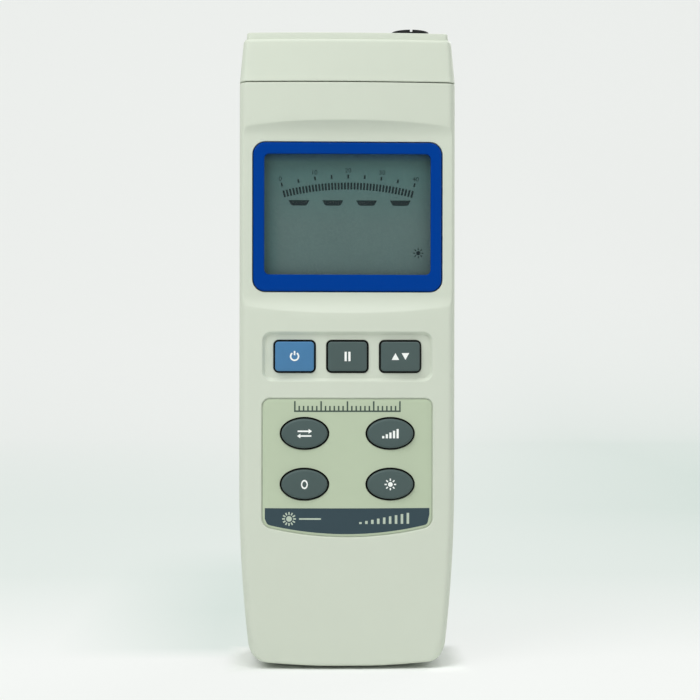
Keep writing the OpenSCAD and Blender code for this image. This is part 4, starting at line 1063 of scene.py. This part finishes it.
class METER_OT_front_shell(MeterPart, bpy.types.Operator):
    """Crowned front half of the case with its recess, pocket, panel and key holes"""

    bl_idname = "meter.front_shell"
    bl_label = "Front Shell"

    # Lines of points along the edges, by their distance from the edge in millimetres
    crease_lines = (-0.6, -0.3, -0.12, 0, 0.12, 0.3)
    panel_lines = (-0.3, -0.12, 0, 0.12, 0.25, 0.4)
    hole_lines = (0.05, 0.11, 0.16, 0.35)
    hole_edge_r = 0.16 * MM  # rounding of the holes' edges
    pocket_turns = np.array([-2.5, -1, -0.35, 0.35, 1])  # the same for the pocket, in reaches of its rounding
    key_step = 1 * MM  # between points along the upper keys' holes
    lift_reach = 15 * MM  # height over which the lift of the base fades
    # Loose points: how far they stay inside the turning edges, their pitch up the face and along the edges
    grid_margin, grid_pitch, edge_pitch = 0.6 * MM, 2.6 * MM, 1.5 * MM
    grid_low, edge_low = 2 * MM, 8 * MM  # where the loose points start above the base
    edge_turns = np.radians([-12, 0, 10, 20, 29, 37, 44])  # their columns along the turning edges
    # How far loose points stay away from edges, and the middle of the pocket's and the panel's slopes
    crease_clear, rim_clear, hole_clear = 0.45 * MM, 0.4 * MM, 0.7 * MM
    pocket_middle, pocket_clear = 0.55 * MM, 1.3 * MM
    panel_middle, panel_clear = 0.1 * MM, 0.8 * MM

    def build(self, form):
        """Fill the front face with triangles along its own edges, and carry a band on to the parting line."""
        points, normals, share = form.outline()
        mirror = np.array([-1.0, 1.0])
        right = form.band(points, normals, share, True)
        left = form.band(points * mirror, normals * mirror, share, False)
        outer, inner = (np.concatenate([a, b[::-1][1:]]) for a, b in zip(right, left))
        face, triangles = self.front(form, outer[:, 0][:, [0, 2]])
        front = upright(face, form.front_face(*face.T) + self.hole_edges(form, face))
        outer[:, 0, 1] = form.front_face(outer[:, 0, 0], outer[:, 0, 2])
        inner[:, 0, 1] = outer[:, 0, 1] + form.s.skin
        quads = grid_faces(*outer.shape[:2])
        split = np.concatenate([quads[:, [0, 1, 2]], quads[:, [0, 2, 3]]])
        sheet = np.concatenate([front, outer.reshape(-1, 3)])
        inside_sheet = np.concatenate([front + [0, form.s.skin, 0], inner.reshape(-1, 3)])
        faces = np.concatenate([triangles, split + len(front)])
        _, first, back = np.unique(sheet, axis=0, return_index=True, return_inverse=True)
        points, faces = shell(sheet[first], inside_sheet[first], back.reshape(-1)[faces])
        near = np.clip(1 - points[:, 2] / self.lift_reach, 0, 1) * np.clip(points[:, 1] / form.front, 0, 1)
        points[:, 2] += form.s.base_lift * near * near
        piece("front_shell_form", points, faces, "case", "case", "case", ("front_shell",))

    def holes(self, form, grow=0.0):
        """Outlines of the holes in the front: display, upper keys and oval keys."""
        low, high = form.bezel
        slip = form.f.frame_gap - form.f.frame_trim + grow
        w, h = high.x - low.x + 2 * slip, high.z - low.z + 2 * slip
        corners = rounded(w, h, form.f.bezel_r + slip, (low.z + high.z) / 2)
        loops = [closed(corners, step=form.wide_step)]
        gap = form.k.gap + grow
        for name in UPPER_KEYS:
            x, z, w, h = form.key_place(name)
            corners = rounded(w + 2 * gap, h + 2 * gap, form.k.square_r + gap, z, x)
            loops.append(closed(corners, step=self.key_step))
        return loops + form.oval_holes(gap)

    def hole_edges(self, form, face):
        """Small rounding of the holes' edges: the face falls away over the last stretch before each hole."""
        fall = np.zeros(len(face))
        for grow in (0.0, *self.hole_lines[:2]):
            for loop in self.holes(form, grow * MM):
                on_edge = (np.abs(face[:, None] - loop[None]).max(2) < WELD).any(1)
                fall[on_edge] = fillet(grow * MM, self.hole_edge_r)
        return fall

    def front(self, form, edge):
        """Points (x, z) and triangles of the front face inside the band's first line."""
        top_x = np.linspace(edge[-1, 0], edge[0, 0], 61)[1:-1]
        boundary = np.concatenate([edge, np.stack([top_x, np.full(len(top_x), form.top)], -1)])
        crease, holes = form.recess_loop(), self.holes(form)
        turns = form.f.pocket_soft * self.pocket_turns
        loops = [boundary, *[offset(crease, d * MM) for d in self.crease_lines]]
        loops += [form.pocket_loop(inset) for inset in (*turns, *(form.f.pocket_slope - turns))]
        loops += [form.panel_loop(d * MM) for d in self.panel_lines]
        loops += holes
        for grow in self.hole_lines:
            loops += self.holes(form, grow * MM)
        return fill(loops, self.loose_points(form, boundary), holes)

    def loose_points(self, form, boundary):
        """Points between the loops: a plain grid, denser in the coves and along the turning edges."""
        f, s = form.f, form.s
        end = form.top - form.seam_rim
        rows = np.concatenate([
            np.arange(self.grid_low, end, self.grid_pitch),
            form.cove_top + f.cove_top_run * np.linspace(0, 1, 13),
            form.cove_low - f.cove_low_run * np.linspace(0, 1, 13),
        ])
        plain = lattice(np.linspace(-1, 1, 31) * (form.start_x - self.grid_margin), rows)
        top_x = np.linspace(boundary[0, 0], -boundary[0, 0], 61)[1:-1]
        rim = lattice(top_x, form.top - s.seam_r * np.append(SEAM_TURN[1:], 2.5))
        z = np.arange(self.edge_low, end, self.edge_pitch)
        edge_x = (form.half_width(z) - s.lean - s.edge_w)[:, None] + s.edge_w * np.sin(self.edge_turns)
        edges = np.stack([edge_x, np.broadcast_to(z[:, None], edge_x.shape)], -1).reshape(-1, 2)
        points = np.concatenate([plain, edges, edges * [-1, 1]])
        x, z = points.T
        clear = np.abs(form.outside(x, z) - form.recess(z)) > self.crease_clear
        clear &= np.abs(form.pocket_inset(x, z) - self.pocket_middle) > self.pocket_clear
        clear &= np.abs(form.panel_inset(x, z) - self.panel_middle) > self.panel_clear
        clear &= inside(points, offset(boundary, self.rim_clear)) & inside(points, boundary)
        for loop in self.holes(form, self.hole_clear):
            clear &= ~inside(points, loop)
        return np.concatenate([points[clear], rim])


class METER_OT_end_cap(MeterPart, bpy.types.Operator):
    """End cap with a lip round its top and the hole of the probe socket"""

    bl_idname = "meter.end_cap"
    bl_label = "End Cap"

    socket_lap = 1.5 * MM  # how far the probe socket stands over the edge of its hole
    inner_inset = 4 * MM  # of the cap's inner side

    def ring(self, form, inset, z):
        """Plan of the case at an inset and a height."""
        loop = form.plan_loop(inset)
        return np.column_stack([loop, np.full(len(loop), z)])

    def build(self, form):
        """Carry a closed profile round the plan of the case: rim, leaning side, a shoulder in a quarter of an
        ellipse, an upright lip, top, hole and back."""
        s = form.s
        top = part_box("end_cap")[1].z
        low = form.top + s.seam_gap
        lip = top - s.cap_lip_h
        roof = top - s.cap_roof_t
        cx, cy, _ = box_middle("socket_ring_nut")
        hole_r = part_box("sensor_socket")[1].x - cx - self.socket_lap
        rows = [(low, s.wall)] + [(low + d, fillet(d, s.seam_r)) for d in s.seam_r * SEAM_TURN]
        turn = np.linspace(0, np.pi / 2, 9)
        soft = s.seam_r * (1 - np.cos(turn))
        z = np.concatenate([
            np.linspace(low + 2 * s.seam_r, lip - s.cap_shoulder_h, 9)[:-1],
            lip - s.cap_shoulder_h * (1 - np.sin(turn)),
            top - soft[::-1],
        ])
        set_back = np.concatenate([np.zeros(8), s.cap_lip_w * (1 - np.cos(turn)), s.cap_lip_w + soft])
        rows += list(zip(z, s.cap_lean * (z - low) / (top - low) + set_back))
        rings = [self.ring(form, inset, z) for z, inset in rows]
        outline = rings[-1]
        angle = np.arctan2(outline[:, 1] - cy, outline[:, 0] - cx)
        hole = np.stack([cx + hole_r * np.cos(angle), cy + hole_r * np.sin(angle), outline[:, 2]], -1)
        rings += [outline + (hole - outline) * share for share in (0.02, 0.3, 0.6, 0.9)]
        rings += [hole, hole * [1, 1, 0] + [0, 0, roof]]
        rings += [self.ring(form, self.inner_inset, z) for z in (roof, low)]
        piece("end_cap_form", *ringed(rings), "case", "case", "case", ("end_cap",))


class METER_OT_display(MeterPart, bpy.types.Operator):
    """Blue display frame, window, display and the marks on it"""

    bl_idname = "meter.display"
    bl_label = "Display"

    lap = 1.35 * MM  # how far the frame covers the window
    view_r = 1.6 * MM  # corners of the opening
    outer_edge, inner_edge = 0.6 * MM, 0.3 * MM  # rounding of the frame's edges
    outer_flat, inner_flat = 1.4 * MM, 0.8 * MM  # where the flat of its front begins and ends
    seat, seat_gap = 1.6 * MM, 0.05 * MM  # width of the step that holds the window, and its gap to it

    def build(self, form):
        """Carry a closed profile round the frame, then draw the resting scale on the display."""
        low, high = form.bezel
        window_low, window_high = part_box("display_window")
        view_w = window_high.x - window_low.x - 2 * self.lap
        view_h = window_high.z - window_low.z - 2 * self.lap
        middle, view_z = box_middle("display_bezel")[2], box_middle("display_window")[2]
        front, back, step = low.y, high.y, window_low.y - self.seat_gap

        def outer(inset, y):
            inset = inset + form.f.frame_trim
            w, h = high.x - low.x - 2 * inset, high.z - low.z - 2 * inset
            return upright(rounded(w, h, form.f.bezel_r - inset, middle, corner=12), y)

        def inner(grow, y):
            w, h = view_w + 2 * grow, view_h + 2 * grow
            return upright(rounded(w, h, self.view_r + grow, view_z, corner=12), y)

        def turned(side, r, turns):
            return [side(r * (1 - math.cos(turn)), front + r * (1 - math.sin(turn))) for turn in turns]

        rings = [
            outer(0, back), *turned(outer, self.outer_edge, np.linspace(0, np.pi / 2, 7)),
            outer(self.outer_flat, front), inner(self.inner_flat, front),
            *turned(inner, self.inner_edge, np.linspace(np.pi / 2, 0, 6)),
            inner(0, step), inner(self.seat, step), inner(self.seat, back),
        ]
        piece("display_bezel_form", *ringed(rings), "blue_frame", "case", "blue_frame", ("display_bezel",))
        finish("window", "display_window")
        finish("display", "lcd_cell")
        self.scale(form.d, view_z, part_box("lcd_cell")[0].y)

    def scale(self, d, view_z, y):
        """Arc of narrow bars with ticks and plain numbers above it, four range blocks and a lamp mark."""
        marks = Marks()
        centre = np.array([d.scale_x, view_z + d.scale_rise - d.scale_r])
        turns = np.arcsin(np.linspace(-0.5, 0.5, 41) * d.scale_w / d.scale_r)
        rays = np.stack([np.sin(turns), np.cos(turns)], -1)
        for ray in rays:
            marks.bar(centre + ray * (d.scale_r - d.bar_l), centre + ray * d.scale_r, d.bar_w)
        for step, ray in enumerate(rays[::5]):
            start = d.scale_r + d.tick_gap
            marks.bar(centre + ray * start, centre + ray * (start + d.tick_l), d.tick_w)
            if step % 2 == 0:
                marks.number(str(step * 5), centre + ray * (d.scale_r + d.number_gap), d.number_h)
        for step in range(4):
            place = np.array([d.block_x + step * d.block_pitch, view_z + d.block_rise])
            marks.block(place, d.block_w, d.block_low_w, d.block_h, d.block_r)
        marks.sun(np.array([d.lamp_x, view_z - d.lamp_drop]), d.lamp_r, d.lamp_reach, d.lamp_ray)
        marks.put("display_marks", lambda x, z: np.full_like(x, y), "segment", "case", "lcd", d.film)


class METER_OT_keys(MeterPart, bpy.types.Operator):
    """Seven sprung keys with plain signs printed on them"""

    bl_idname = "meter.keys"
    bl_label = "Keys"

    least_r = 0.2 * MM  # corner of an upper key at a large inset
    edge_ease = 0.1 * MM  # how much less than its width the rounded edge falls
    side_start = 0.05 * MM  # least height of a key's side
    stem_l = 3.5 * MM  # length of the stem between flange and pill
    top_shares = (0.02, 0.25, 0.5, 0.75, 0.9, 1.0)  # rings of the domed top
    tip_share = 0.05  # innermost ring of the pill's end
    square_fall = 0.8  # share of the dome's fall that signs on the upper keys follow
    # Signs: radius and strokes, then the sizes of the ring, bars, triangles, arrows, steps, nought and lamp
    sign_r, stroke, thick = 1.5 * MM, 0.5 * MM, 0.7 * MM
    ring_start, ring_end, bar_start, bar_end = -235, 55, 0.25, 1.15
    bars_out = 0.6 * MM
    triangle_out, triangle_w, triangle_h = 1.6 * MM, 2.4 * MM, 2.2 * MM
    arrow_out, arrow_tail, arrow_head, arrow_tip = 0.75 * MM, 2.2 * MM, 1.3 * MM, 1.1 * MM
    step_count, step_pitch, step_first, step_rise = 5, 1.15 * MM, 0.5, 0.37
    nought_stroke, nought_wide = 0.55 * MM, 0.72
    lamp_r, lamp_reach, lamp_ray = 0.75 * MM, 1.85 * MM, 0.42 * MM

    def build(self, form):
        """Build each key from its outline and a profile, with its sign on top and its dome under it."""
        for name in UPPER_KEYS + OVAL_KEYS:
            self.key(form, name)
            self.spring(form.k, name)

    def key(self, form, name):
        """Outline carried down a profile: domed top, rounded edge, side, flange, stem and contact pill."""
        k = form.k
        x, z, w, h = form.key_place(name)
        low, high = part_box(name + "_key")
        is_oval = name in OVAL_KEYS
        edge = k.oval_edge if is_oval else k.square_edge

        def loop(grow):
            if is_oval:
                return oval(w + 2 * grow, h + 2 * grow, z, x)
            r = max(k.square_r + grow, self.least_r)
            return closed(rounded(w + 2 * grow, h + 2 * grow, r, z, x, corner=12), step=w / 12)

        side, rim, centre = loop(0), loop(k.flange_w), np.array([x, z])
        top, tip, heel = low.y, high.y, high.y - k.pill_l
        flange = heel - self.stem_l - k.flange_t
        seat = flange + k.flange_t
        inner = loop(-edge) - centre
        rings = [(centre + inner * share, top + k.dome * share**2) for share in self.top_shares]
        for turn in np.linspace(0, np.pi / 2, 8)[1:]:
            fall = k.dome + (edge - self.edge_ease) * (1 - math.cos(turn))
            rings.append((loop(-edge * (1 - math.sin(turn))), top + fall))
        rings.append((side, np.maximum(form.front_face(*side.T), top + fall + self.side_start)))
        count = len(side)
        visible = (len(rings) - 1) * count
        angle = np.arctan2(*(side - centre).T[::-1])
        ray = np.stack([np.cos(angle), np.sin(angle)], -1)
        stem, pill = centre + ray * k.stem_r, centre + ray * k.pill_r
        rings += [(side, flange), (rim, flange), (rim, seat), (stem, seat), (stem, heel)]
        rings += [(pill, heel), (pill, tip), (centre + ray * k.pill_r * self.tip_share, tip)]
        points, faces = ringed([upright(*ring) for ring in rings], rows_closed=False)
        last = len(points) - count
        faces = [*faces.tolist(), list(range(count)), list(range(last, last + count))]
        # Painted shade: every face below the ring where the key's side meets the case's face, and the pill's
        # end, takes black plastic so that the gap round the key reads dark; the top, its rounded edge and its
        # side above the case keep the key's colour
        dark = np.arange(len(faces)) >= visible
        dark[-2] = False
        coat, body = "blue_key" if name == "power" else "grey_key", name + "_button"
        piece(name + "_key_form", points, faces, coat, body, coat, (name + "_key",), under=("black", dark))

        def dome(px, pz):
            share = np.hypot((px - x) / (w / 2 - edge), (pz - z) / (h / 2 - edge))
            return top + k.dome * share**2 * (1 if is_oval else self.square_fall)

        marks = Marks()
        self.sign(marks, name, centre)
        marks.put(name + "_sign", dome, "white", body, coat, k.print_lift)

    def spring(self, k, name):
        """Collapsing dome of silicone, revolved: its wall eases in from the foot to the stem by a smooth
        step."""
        low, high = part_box(name + "_dome")
        middle, rise = (low + high) / 2, high.y - low.y
        share = np.linspace(0, 1, 13)
        sweep = share * share * (3 - 2 * share)
        r = (high.x - low.x) / 2 * (1 - sweep) + (k.stem_r - k.spring_gap) * sweep
        r = np.concatenate([r, (r - k.spring_wall)[::-1]])[:, None]
        y = high.y - rise * np.concatenate([share, share[::-1]])[:, None]
        turn = np.linspace(0, 2 * np.pi, 48, endpoint=False)
        points = np.stack([middle.x + r * np.cos(turn), y + 0 * turn, middle.z + r * np.sin(turn)], -1)
        obj = piece(name + "_dome_form", *ringed(points), "rubber", "case", "silicone", (name + "_dome",))
        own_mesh(obj)

    def sign(self, marks, name, centre):
        """Plain sign of a key: ring and bar, two bars, triangles, arrows, steps, a nought or a lamp."""
        across, up = np.array([1.0, 0.0]), np.array([0.0, 1.0])
        r = self.sign_r
        if name == "power":
            marks.ring(centre, r - self.stroke, r, self.ring_start, self.ring_end)
            marks.bar(centre + up * r * self.bar_start, centre + up * r * self.bar_end, self.stroke)
        elif name == "range":
            for step in range(self.step_count):
                foot = centre + across * (step - self.step_count // 2) * self.step_pitch - up * r
                marks.bar(foot, foot + up * r * (self.step_first + self.step_rise * step), self.thick)
        elif name == "zero":
            marks.ring(centre, r - self.nought_stroke, r, wide=self.nought_wide)
        elif name == "source":
            marks.sun(centre, self.lamp_r, self.lamp_reach, self.lamp_ray)
        for side in (-1, 1):
            if name == "hold":
                place = centre + across * side * self.bars_out
                marks.bar(place - up * r, place + up * r, self.thick)
            elif name == "record":
                place = centre + across * side * self.triangle_out
                marks.triangle(place, self.triangle_w, -side * self.triangle_h)
            elif name == "unit":
                place, wing = centre + up * side * self.arrow_out, up * self.arrow_out * side
                head = place + across * side * self.arrow_head
                marks.bar(place - across * side * self.arrow_tail, head, self.stroke)
                marks.polygon([head - wing, head + across * side * self.arrow_tip, head + wing])


class METER_OT_overlay(MeterPart, bpy.types.Operator):
    """Printed film of the lower panel with its dark band"""

    bl_idname = "meter.overlay"
    bl_label = "Panel Overlay"

    film = 0.02 * MM  # thickness of the print
    edge_line, edge_drop, on_edge = 0.12 * MM, 0.08 * MM, 0.01 * MM  # width and fall of the film's soft edge
    grid = lattice(np.linspace(-25, 25, 26) * MM, np.arange(44, 85, 2) * MM)  # points between its edges
    grid_clear = 0.8 * MM  # how far they stay away from the edges
    band_margin, band_h, band_rim = 0.7 * MM, 9.4 * MM, 0.3 * MM  # dark band: set-back, height and upper rim
    # Scale: drop below the panel's top, steps and their pitch, long and short strokes, and a stroke's width
    scale_drop, scale_steps, scale_pitch = 4.3 * MM, 25, 1.4 * MM
    long_stroke, short_stroke, stroke_w = 3.2 * MM, 1.7 * MM, 0.5 * MM
    # Signs on the band: their height, a lamp with its line, and rising steps
    sign_rise = 6.0 * MM
    lamp_x, lamp_r, lamp_reach, lamp_ray, lamp_rays = -18.6 * MM, 0.9 * MM, 2.2 * MM, 0.45 * MM, 12
    line_start, line_end = -15.4 * MM, -8.4 * MM
    step_count, step_x, step_pitch, step_w = 9, 4.2 * MM, 1.9 * MM, 0.8 * MM
    step_foot, step_top, step_rise = -1.6 * MM, -1.0 * MM, 0.36 * MM

    def build(self, form):
        """Fill the panel's outline round the oval keys, bend it over the crown and print on it."""
        f = form.f
        margin = f.panel_margin
        holes = form.oval_holes(form.k.gap)
        loose = self.grid[form.panel_inset(*self.grid.T) > margin + self.grid_clear]
        for hole in holes:
            loose = loose[~inside(loose, offset(hole, self.grid_clear))]
        loops = [form.panel_loop(margin), form.panel_loop(margin + self.edge_line)]
        loops += [*holes, *[offset(hole, self.edge_line) for hole in holes]]
        flat, faces = fill(loops, loose, holes)
        low_y = form.crown(flat[:, 0]) + f.panel_d
        border = form.panel_inset(*flat.T) < margin + self.on_edge
        top_y = low_y - f.overlay_t + np.where(border, self.edge_drop, 0)
        points, faces = shell(upright(flat, top_y), upright(flat, low_y), faces)
        piece("panel_overlay_form", points, faces, "overlay", "case", "overlay", ("panel_overlay",))

        def surface(x, z):
            return form.crown(x) + f.panel_d - f.overlay_t

        self.band(form).put("overlay_band", surface, "band", "case", "overlay", self.film)
        self.scale(form).put("overlay_scale", surface, "ink", "case", "overlay", self.film)

        def printed(x, z):
            return surface(x, z) - self.film

        self.signs(form).put("overlay_band_marks", printed, "pale", "case", "overlay", self.film)

    def band(self, form):
        """Dark band along the bowed lower edge of the film: columns from that edge up to a straight top."""
        loop = form.panel_loop(form.f.panel_margin + self.band_margin, corner=8)
        top = form.panel_low + self.band_h
        side = loop[:, 0].max()
        below = loop[loop[:, 1] < top - self.band_rim]
        below = below[np.argsort(below[:, 0])]
        x = np.concatenate([[-side], below[:, 0], [side]])
        z = np.concatenate([[below[0, 1]], below[:, 1], [below[-1, 1]]])
        columns = np.linspace(-side, side, 81)
        bottom = np.stack([columns, np.interp(columns, x, z)], -1)[:, None]
        upper = np.stack([columns, np.full_like(columns, top)], -1)[:, None]
        grid = bottom + (upper - bottom) * np.linspace(0, 1, 5)[None, :, None]
        marks = Marks()
        marks.add(grid.reshape(-1, 2), grid_faces(*grid.shape[:2]))
        return marks

    def scale(self, form):
        """Plain graduated scale above the keys, with a long stroke at every sixth step."""
        marks = Marks()
        z, middle = form.panel_top - self.scale_drop, self.scale_steps // 2
        for step in range(self.scale_steps):
            x = (step - middle) * self.scale_pitch
            marks.bar((x, z), (x, z + (self.short_stroke if step % 6 else self.long_stroke)), self.stroke_w)
        end = middle * self.scale_pitch + self.stroke_w / 2
        marks.bar((-end, z), (end, z), self.stroke_w, self.scale_steps)
        return marks

    def signs(self, form):
        """Plain signs on the band: a lamp with a line, and steps that rise."""
        marks = Marks()
        z = form.panel_low + self.sign_rise
        marks.sun(np.array([self.lamp_x, z]), self.lamp_r, self.lamp_reach, self.lamp_ray, self.lamp_rays)
        marks.bar((self.line_start, z), (self.line_end, z), self.stroke_w, 5)
        for step in range(self.step_count):
            x, top = self.step_x + self.step_pitch * step, self.step_top + self.step_rise * step
            marks.bar((x, z + self.step_foot), (x, z + top), self.step_w)
        return marks


class METER_OT_rear(MeterPart, bpy.types.Operator):
    """Rear half of the case, battery cover, folding stand and their screws"""

    bl_idname = "meter.rear"
    bl_label = "Rear"

    def build(self, form):
        """Dress the CAD forms with broken edges and their finishes."""
        dressed("rear_shell", "case", "case", "case", 0.2)
        dressed("battery_cover", "case", "cover", "case", 0.2)
        dressed("tilt_stand", "case", "stand", "case", 0.25)
        dressed("cover_screws", "steel", "cover", "steel", 0.1)
        dressed("case_screws", "steel", "case", "steel", 0.1)


class METER_OT_sockets(MeterPart, bpy.types.Operator):
    """Probe socket on the end cap and the two jacks in the side"""

    bl_idname = "meter.sockets"
    bl_label = "Sockets"

    def build(self, form):
        """Dress the CAD forms with broken edges and their finishes."""
        dressed("socket_ring_nut", "black", "case", "black_plastic", 0.2)
        dressed("sensor_socket", "steel", "case", "steel", 0.15)
        dressed("data_jack", "black", "case", "black_plastic", 0.2)
        dressed("power_jack", "black", "case", "black_plastic", 0.2)
        finish("black", "socket_insulator")
        finish("brass", "socket_contacts", "power_jack_pin")


class METER_OT_inside(MeterPart, bpy.types.Operator):
    """Finishes of the pieces inside the case"""

    bl_idname = "meter.inside"
    bl_label = "Inside"

    def build(self, form):
        """Give every hidden piece its own finish."""
        finish("black", "lcd_frame", "controller_chip", "amplifier_chip")
        finish("strip", "zebra_strips")
        finish("board", "main_board")
        finish("steel", "quartz_crystal", "battery_contacts", "board_screws")
        finish("rubber", "keypad_mat")
        finish("sleeve", "battery_cells")


class METER_OT_stage(bpy.types.Operator):
    """Pale sweep, soft lamps and the camera"""

    bl_idname = "meter.stage"
    bl_label = "Stage"
    bl_options = {"REGISTER", "UNDO"}

    # Place and size of each lamp, and the point that all are aimed at
    lamps = {
        "key": ((-0.64, -0.61, 0.93), 0.7),
        "fill": ((0.95, -0.8, 0.45), 0.8),
        "back": ((0.8, 1.0, 0.9), 0.8),
        "top": ((0.0, -0.35, 1.25), 0.9),
    }
    aim = (0, 0, 0.1)
    air_tone = (0.97, 1.0, 0.985, 1)
    # Sweep: radius of its turn, depth where the turn starts, front edge, half width and height
    turn_r, turn_y, front_y, half_w, rise = 0.5, 1.3, -3.0, 3.5, 2.6
    # Stretches of x and y over which each painted shade on the backdrop comes or goes, from where its share
    # is 0 to where it is 1
    behind_y = ((0.0, 0.2), (1.6, 0.5))
    left_x, left_y = ((-0.1, -0.045), (0.04, -0.04)), ((0.0, 0.02), (0.3, 0.1))
    right_x, right_y = ((0.05, 0.3),), ((0.1, 0.5), (1.7, 1.2))
    shadow_lap = 1 * MM  # how far the pale light reaches under the meter

    def execute(self, context):
        """Build the sweep, the lamps, the even light and the camera."""
        settings = context.scene.meter_stage
        self.sweep(context.scene, settings)
        for name, (place, size) in self.lamps.items():
            self.lamp(context.scene, name.capitalize(), place, size, getattr(settings, name + "_power"))
        self.even_light(context.scene, settings)
        self.camera(context.scene, settings)
        context.scene.view_settings.view_transform = "Standard"
        return {"FINISHED"}

    def sweep(self, scene, settings):
        """Floor that turns up into a backdrop: a straight run, a quarter circle and a straight rise."""
        turn = np.linspace(0, np.pi / 2, 25)
        r, start = self.turn_r, self.turn_y
        y = np.concatenate([[self.front_y], start + r * np.sin(turn), [start + r]])
        z = np.concatenate([[0], r * (1 - np.cos(turn)), [self.rise]]) - settings.stand_gap
        x = np.linspace(-self.half_w, self.half_w, 9)[:, None]
        points = np.stack(np.broadcast_arrays(x, y, z), -1)
        mesh = bpy.data.meshes.new("sweep")
        mesh.from_pydata(points.reshape(-1, 3).tolist(), [], grid_faces(*points.shape[:2]).tolist())
        mesh.polygons.foreach_set("use_smooth", np.ones(len(mesh.polygons), bool))
        obj = bpy.data.objects.new("sweep", mesh)
        scene.collection.objects.link(obj)
        paint = Paint("Pale sweep", Roughness=0.9)
        drift = paint.noise(0.8, 2.0)
        low, high = tones(scene.meter_colours.floor, 0.01)
        paint.shade(Base_Color=paint.blend(drift, low, high), Specular_IOR_Level=0.1)
        self.brighten(paint, settings)
        mesh.materials.append(paint.material)

    def brighten(self, paint, settings):
        """Let the camera, reflections and clear sheets see a paler sweep: not under the meter, where the
        shadow stays, and with painted shade behind it, most of all close by on its left and far out on its
        right."""
        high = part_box("rear_shell")[1]
        x = paint.node("ShaderNodeSeparateXYZ", None, {"Vector": paint.place}, output="X")
        y = x.sibling("Y")

        def shade(share, *spans):
            for value, stretches in spans:
                for start, end in stretches:
                    share = paint.ramp(value, start, end) * share
            return share

        # Painted shade behind the meter: the glow's tone turns duller, most of all close by on the left and
        # far out on the right
        painted_backdrop_shade = shade(settings.shade, (y, self.behind_y))
        painted_backdrop_shade = painted_backdrop_shade + shade(settings.shade_left, (x, self.left_x), (y, self.left_y))
        painted_backdrop_shade = painted_backdrop_shade + shade(settings.shade_right, (x, self.right_x), (y, self.right_y))
        outside = (abs(x) - high.x).largest(abs(y) - high.y)
        share = paint.ramp(outside, -self.shadow_lap, settings.shadow_reach) * settings.paleness
        tone = paint.blend(painted_backdrop_shade, settings.pale_tone, settings.painted_shade_tone)
        glow = paint.node("ShaderNodeEmission", None, {"Color": tone, "Strength": 1.0})
        plain = Field(paint, paint.shader.outputs[0])
        mixed = paint.node("ShaderNodeMixShader", None, {0: paint.seen() * share, 1: plain, 2: glow})
        paint.feed(paint.tree.nodes["Material Output"].inputs["Surface"], mixed)

    def lamp(self, scene, name, place, size, power):
        """Square soft lamp aimed at the middle of the meter."""
        light = bpy.data.lights.new(name, "AREA")
        light.size, light.energy = size, power
        obj = bpy.data.objects.new(name, light)
        obj.location = place
        obj.rotation_euler = (Vector(self.aim) - Vector(place)).to_track_quat("-Z", "Y").to_euler()
        scene.collection.objects.link(obj)

    def even_light(self, scene, settings):
        """Even light from all round, seen as a pale backdrop by the camera, reflections and clear sheets."""
        world = bpy.data.worlds.new("Even light")
        world.use_nodes = True
        nodes = NodeTree(world.node_tree)
        background = world.node_tree.nodes["Background"]
        nodes.feed(background.inputs["Color"], self.air_tone)
        strength = nodes.seen() * (settings.paleness - settings.ambient) + settings.ambient
        nodes.feed(background.inputs["Strength"], strength)
        scene.world = world

    def camera(self, scene, settings):
        """Camera almost square to the front: a step round the meter and a slight roll."""
        camera = bpy.data.cameras.new("Camera")
        camera.lens, camera.sensor_width = settings.lens, 36
        camera.clip_start = 0.01
        obj = bpy.data.objects.new("Camera", camera)
        turn = Matrix.Rotation(math.pi / 2, 4, "X") @ Matrix.Rotation(settings.roll, 4, "Z")
        place = Matrix.Translation((settings.camera_x, settings.camera_y, settings.camera_z))
        obj.matrix_world = Matrix.Rotation(settings.orbit, 4, "Z") @ place @ turn
        scene.collection.objects.link(obj)
        scene.camera = obj


class METER_PT_pieces(bpy.types.Panel):
    """Sidebar panel that lists the pieces"""

    bl_idname = "METER_PT_pieces"
    bl_label = "Light Meter"
    bl_space_type = "VIEW_3D"
    bl_region_type = "UI"
    bl_category = "Meter"

    def draw(self, context):
        """List the operators in building order."""
        for operator in OPERATORS:
            self.layout.operator(operator.bl_idname)


SETTINGS = {
    "meter_case": MeterCaseSettings,
    "meter_face": MeterFaceSettings,
    "meter_keys": MeterKeySettings,
    "meter_display": MeterDisplaySettings,
    "meter_colours": MeterColourSettings,
    "meter_stage": MeterStageSettings,
}
OPERATORS = (
    METER_OT_stage,
    METER_OT_front_shell,
    METER_OT_end_cap,
    METER_OT_display,
    METER_OT_keys,
    METER_OT_overlay,
    METER_OT_rear,
    METER_OT_sockets,
    METER_OT_inside,
)


def register():
    """Register the classes and hang the settings on the scene."""
    for cls in (*SETTINGS.values(), *OPERATORS, METER_PT_pieces):
        bpy.utils.register_class(cls)
    for name, cls in SETTINGS.items():
        setattr(bpy.types.Scene, name, PointerProperty(type=cls))


def unregister():
    """Take the settings and the classes away again."""
    for name in SETTINGS:
        delattr(bpy.types.Scene, name)
    for cls in (METER_PT_pieces, *reversed(OPERATORS), *reversed(SETTINGS.values())):
        bpy.utils.unregister_class(cls)


def main():
    register()
    bpy.ops.meter.stage()
    bpy.ops.meter.front_shell()
    bpy.ops.meter.end_cap()
    bpy.ops.meter.display()
    bpy.ops.meter.keys()
    bpy.ops.meter.overlay()
    bpy.ops.meter.rear()
    bpy.ops.meter.sockets()
    bpy.ops.meter.inside()


if __name__ == "__main__":
    main()
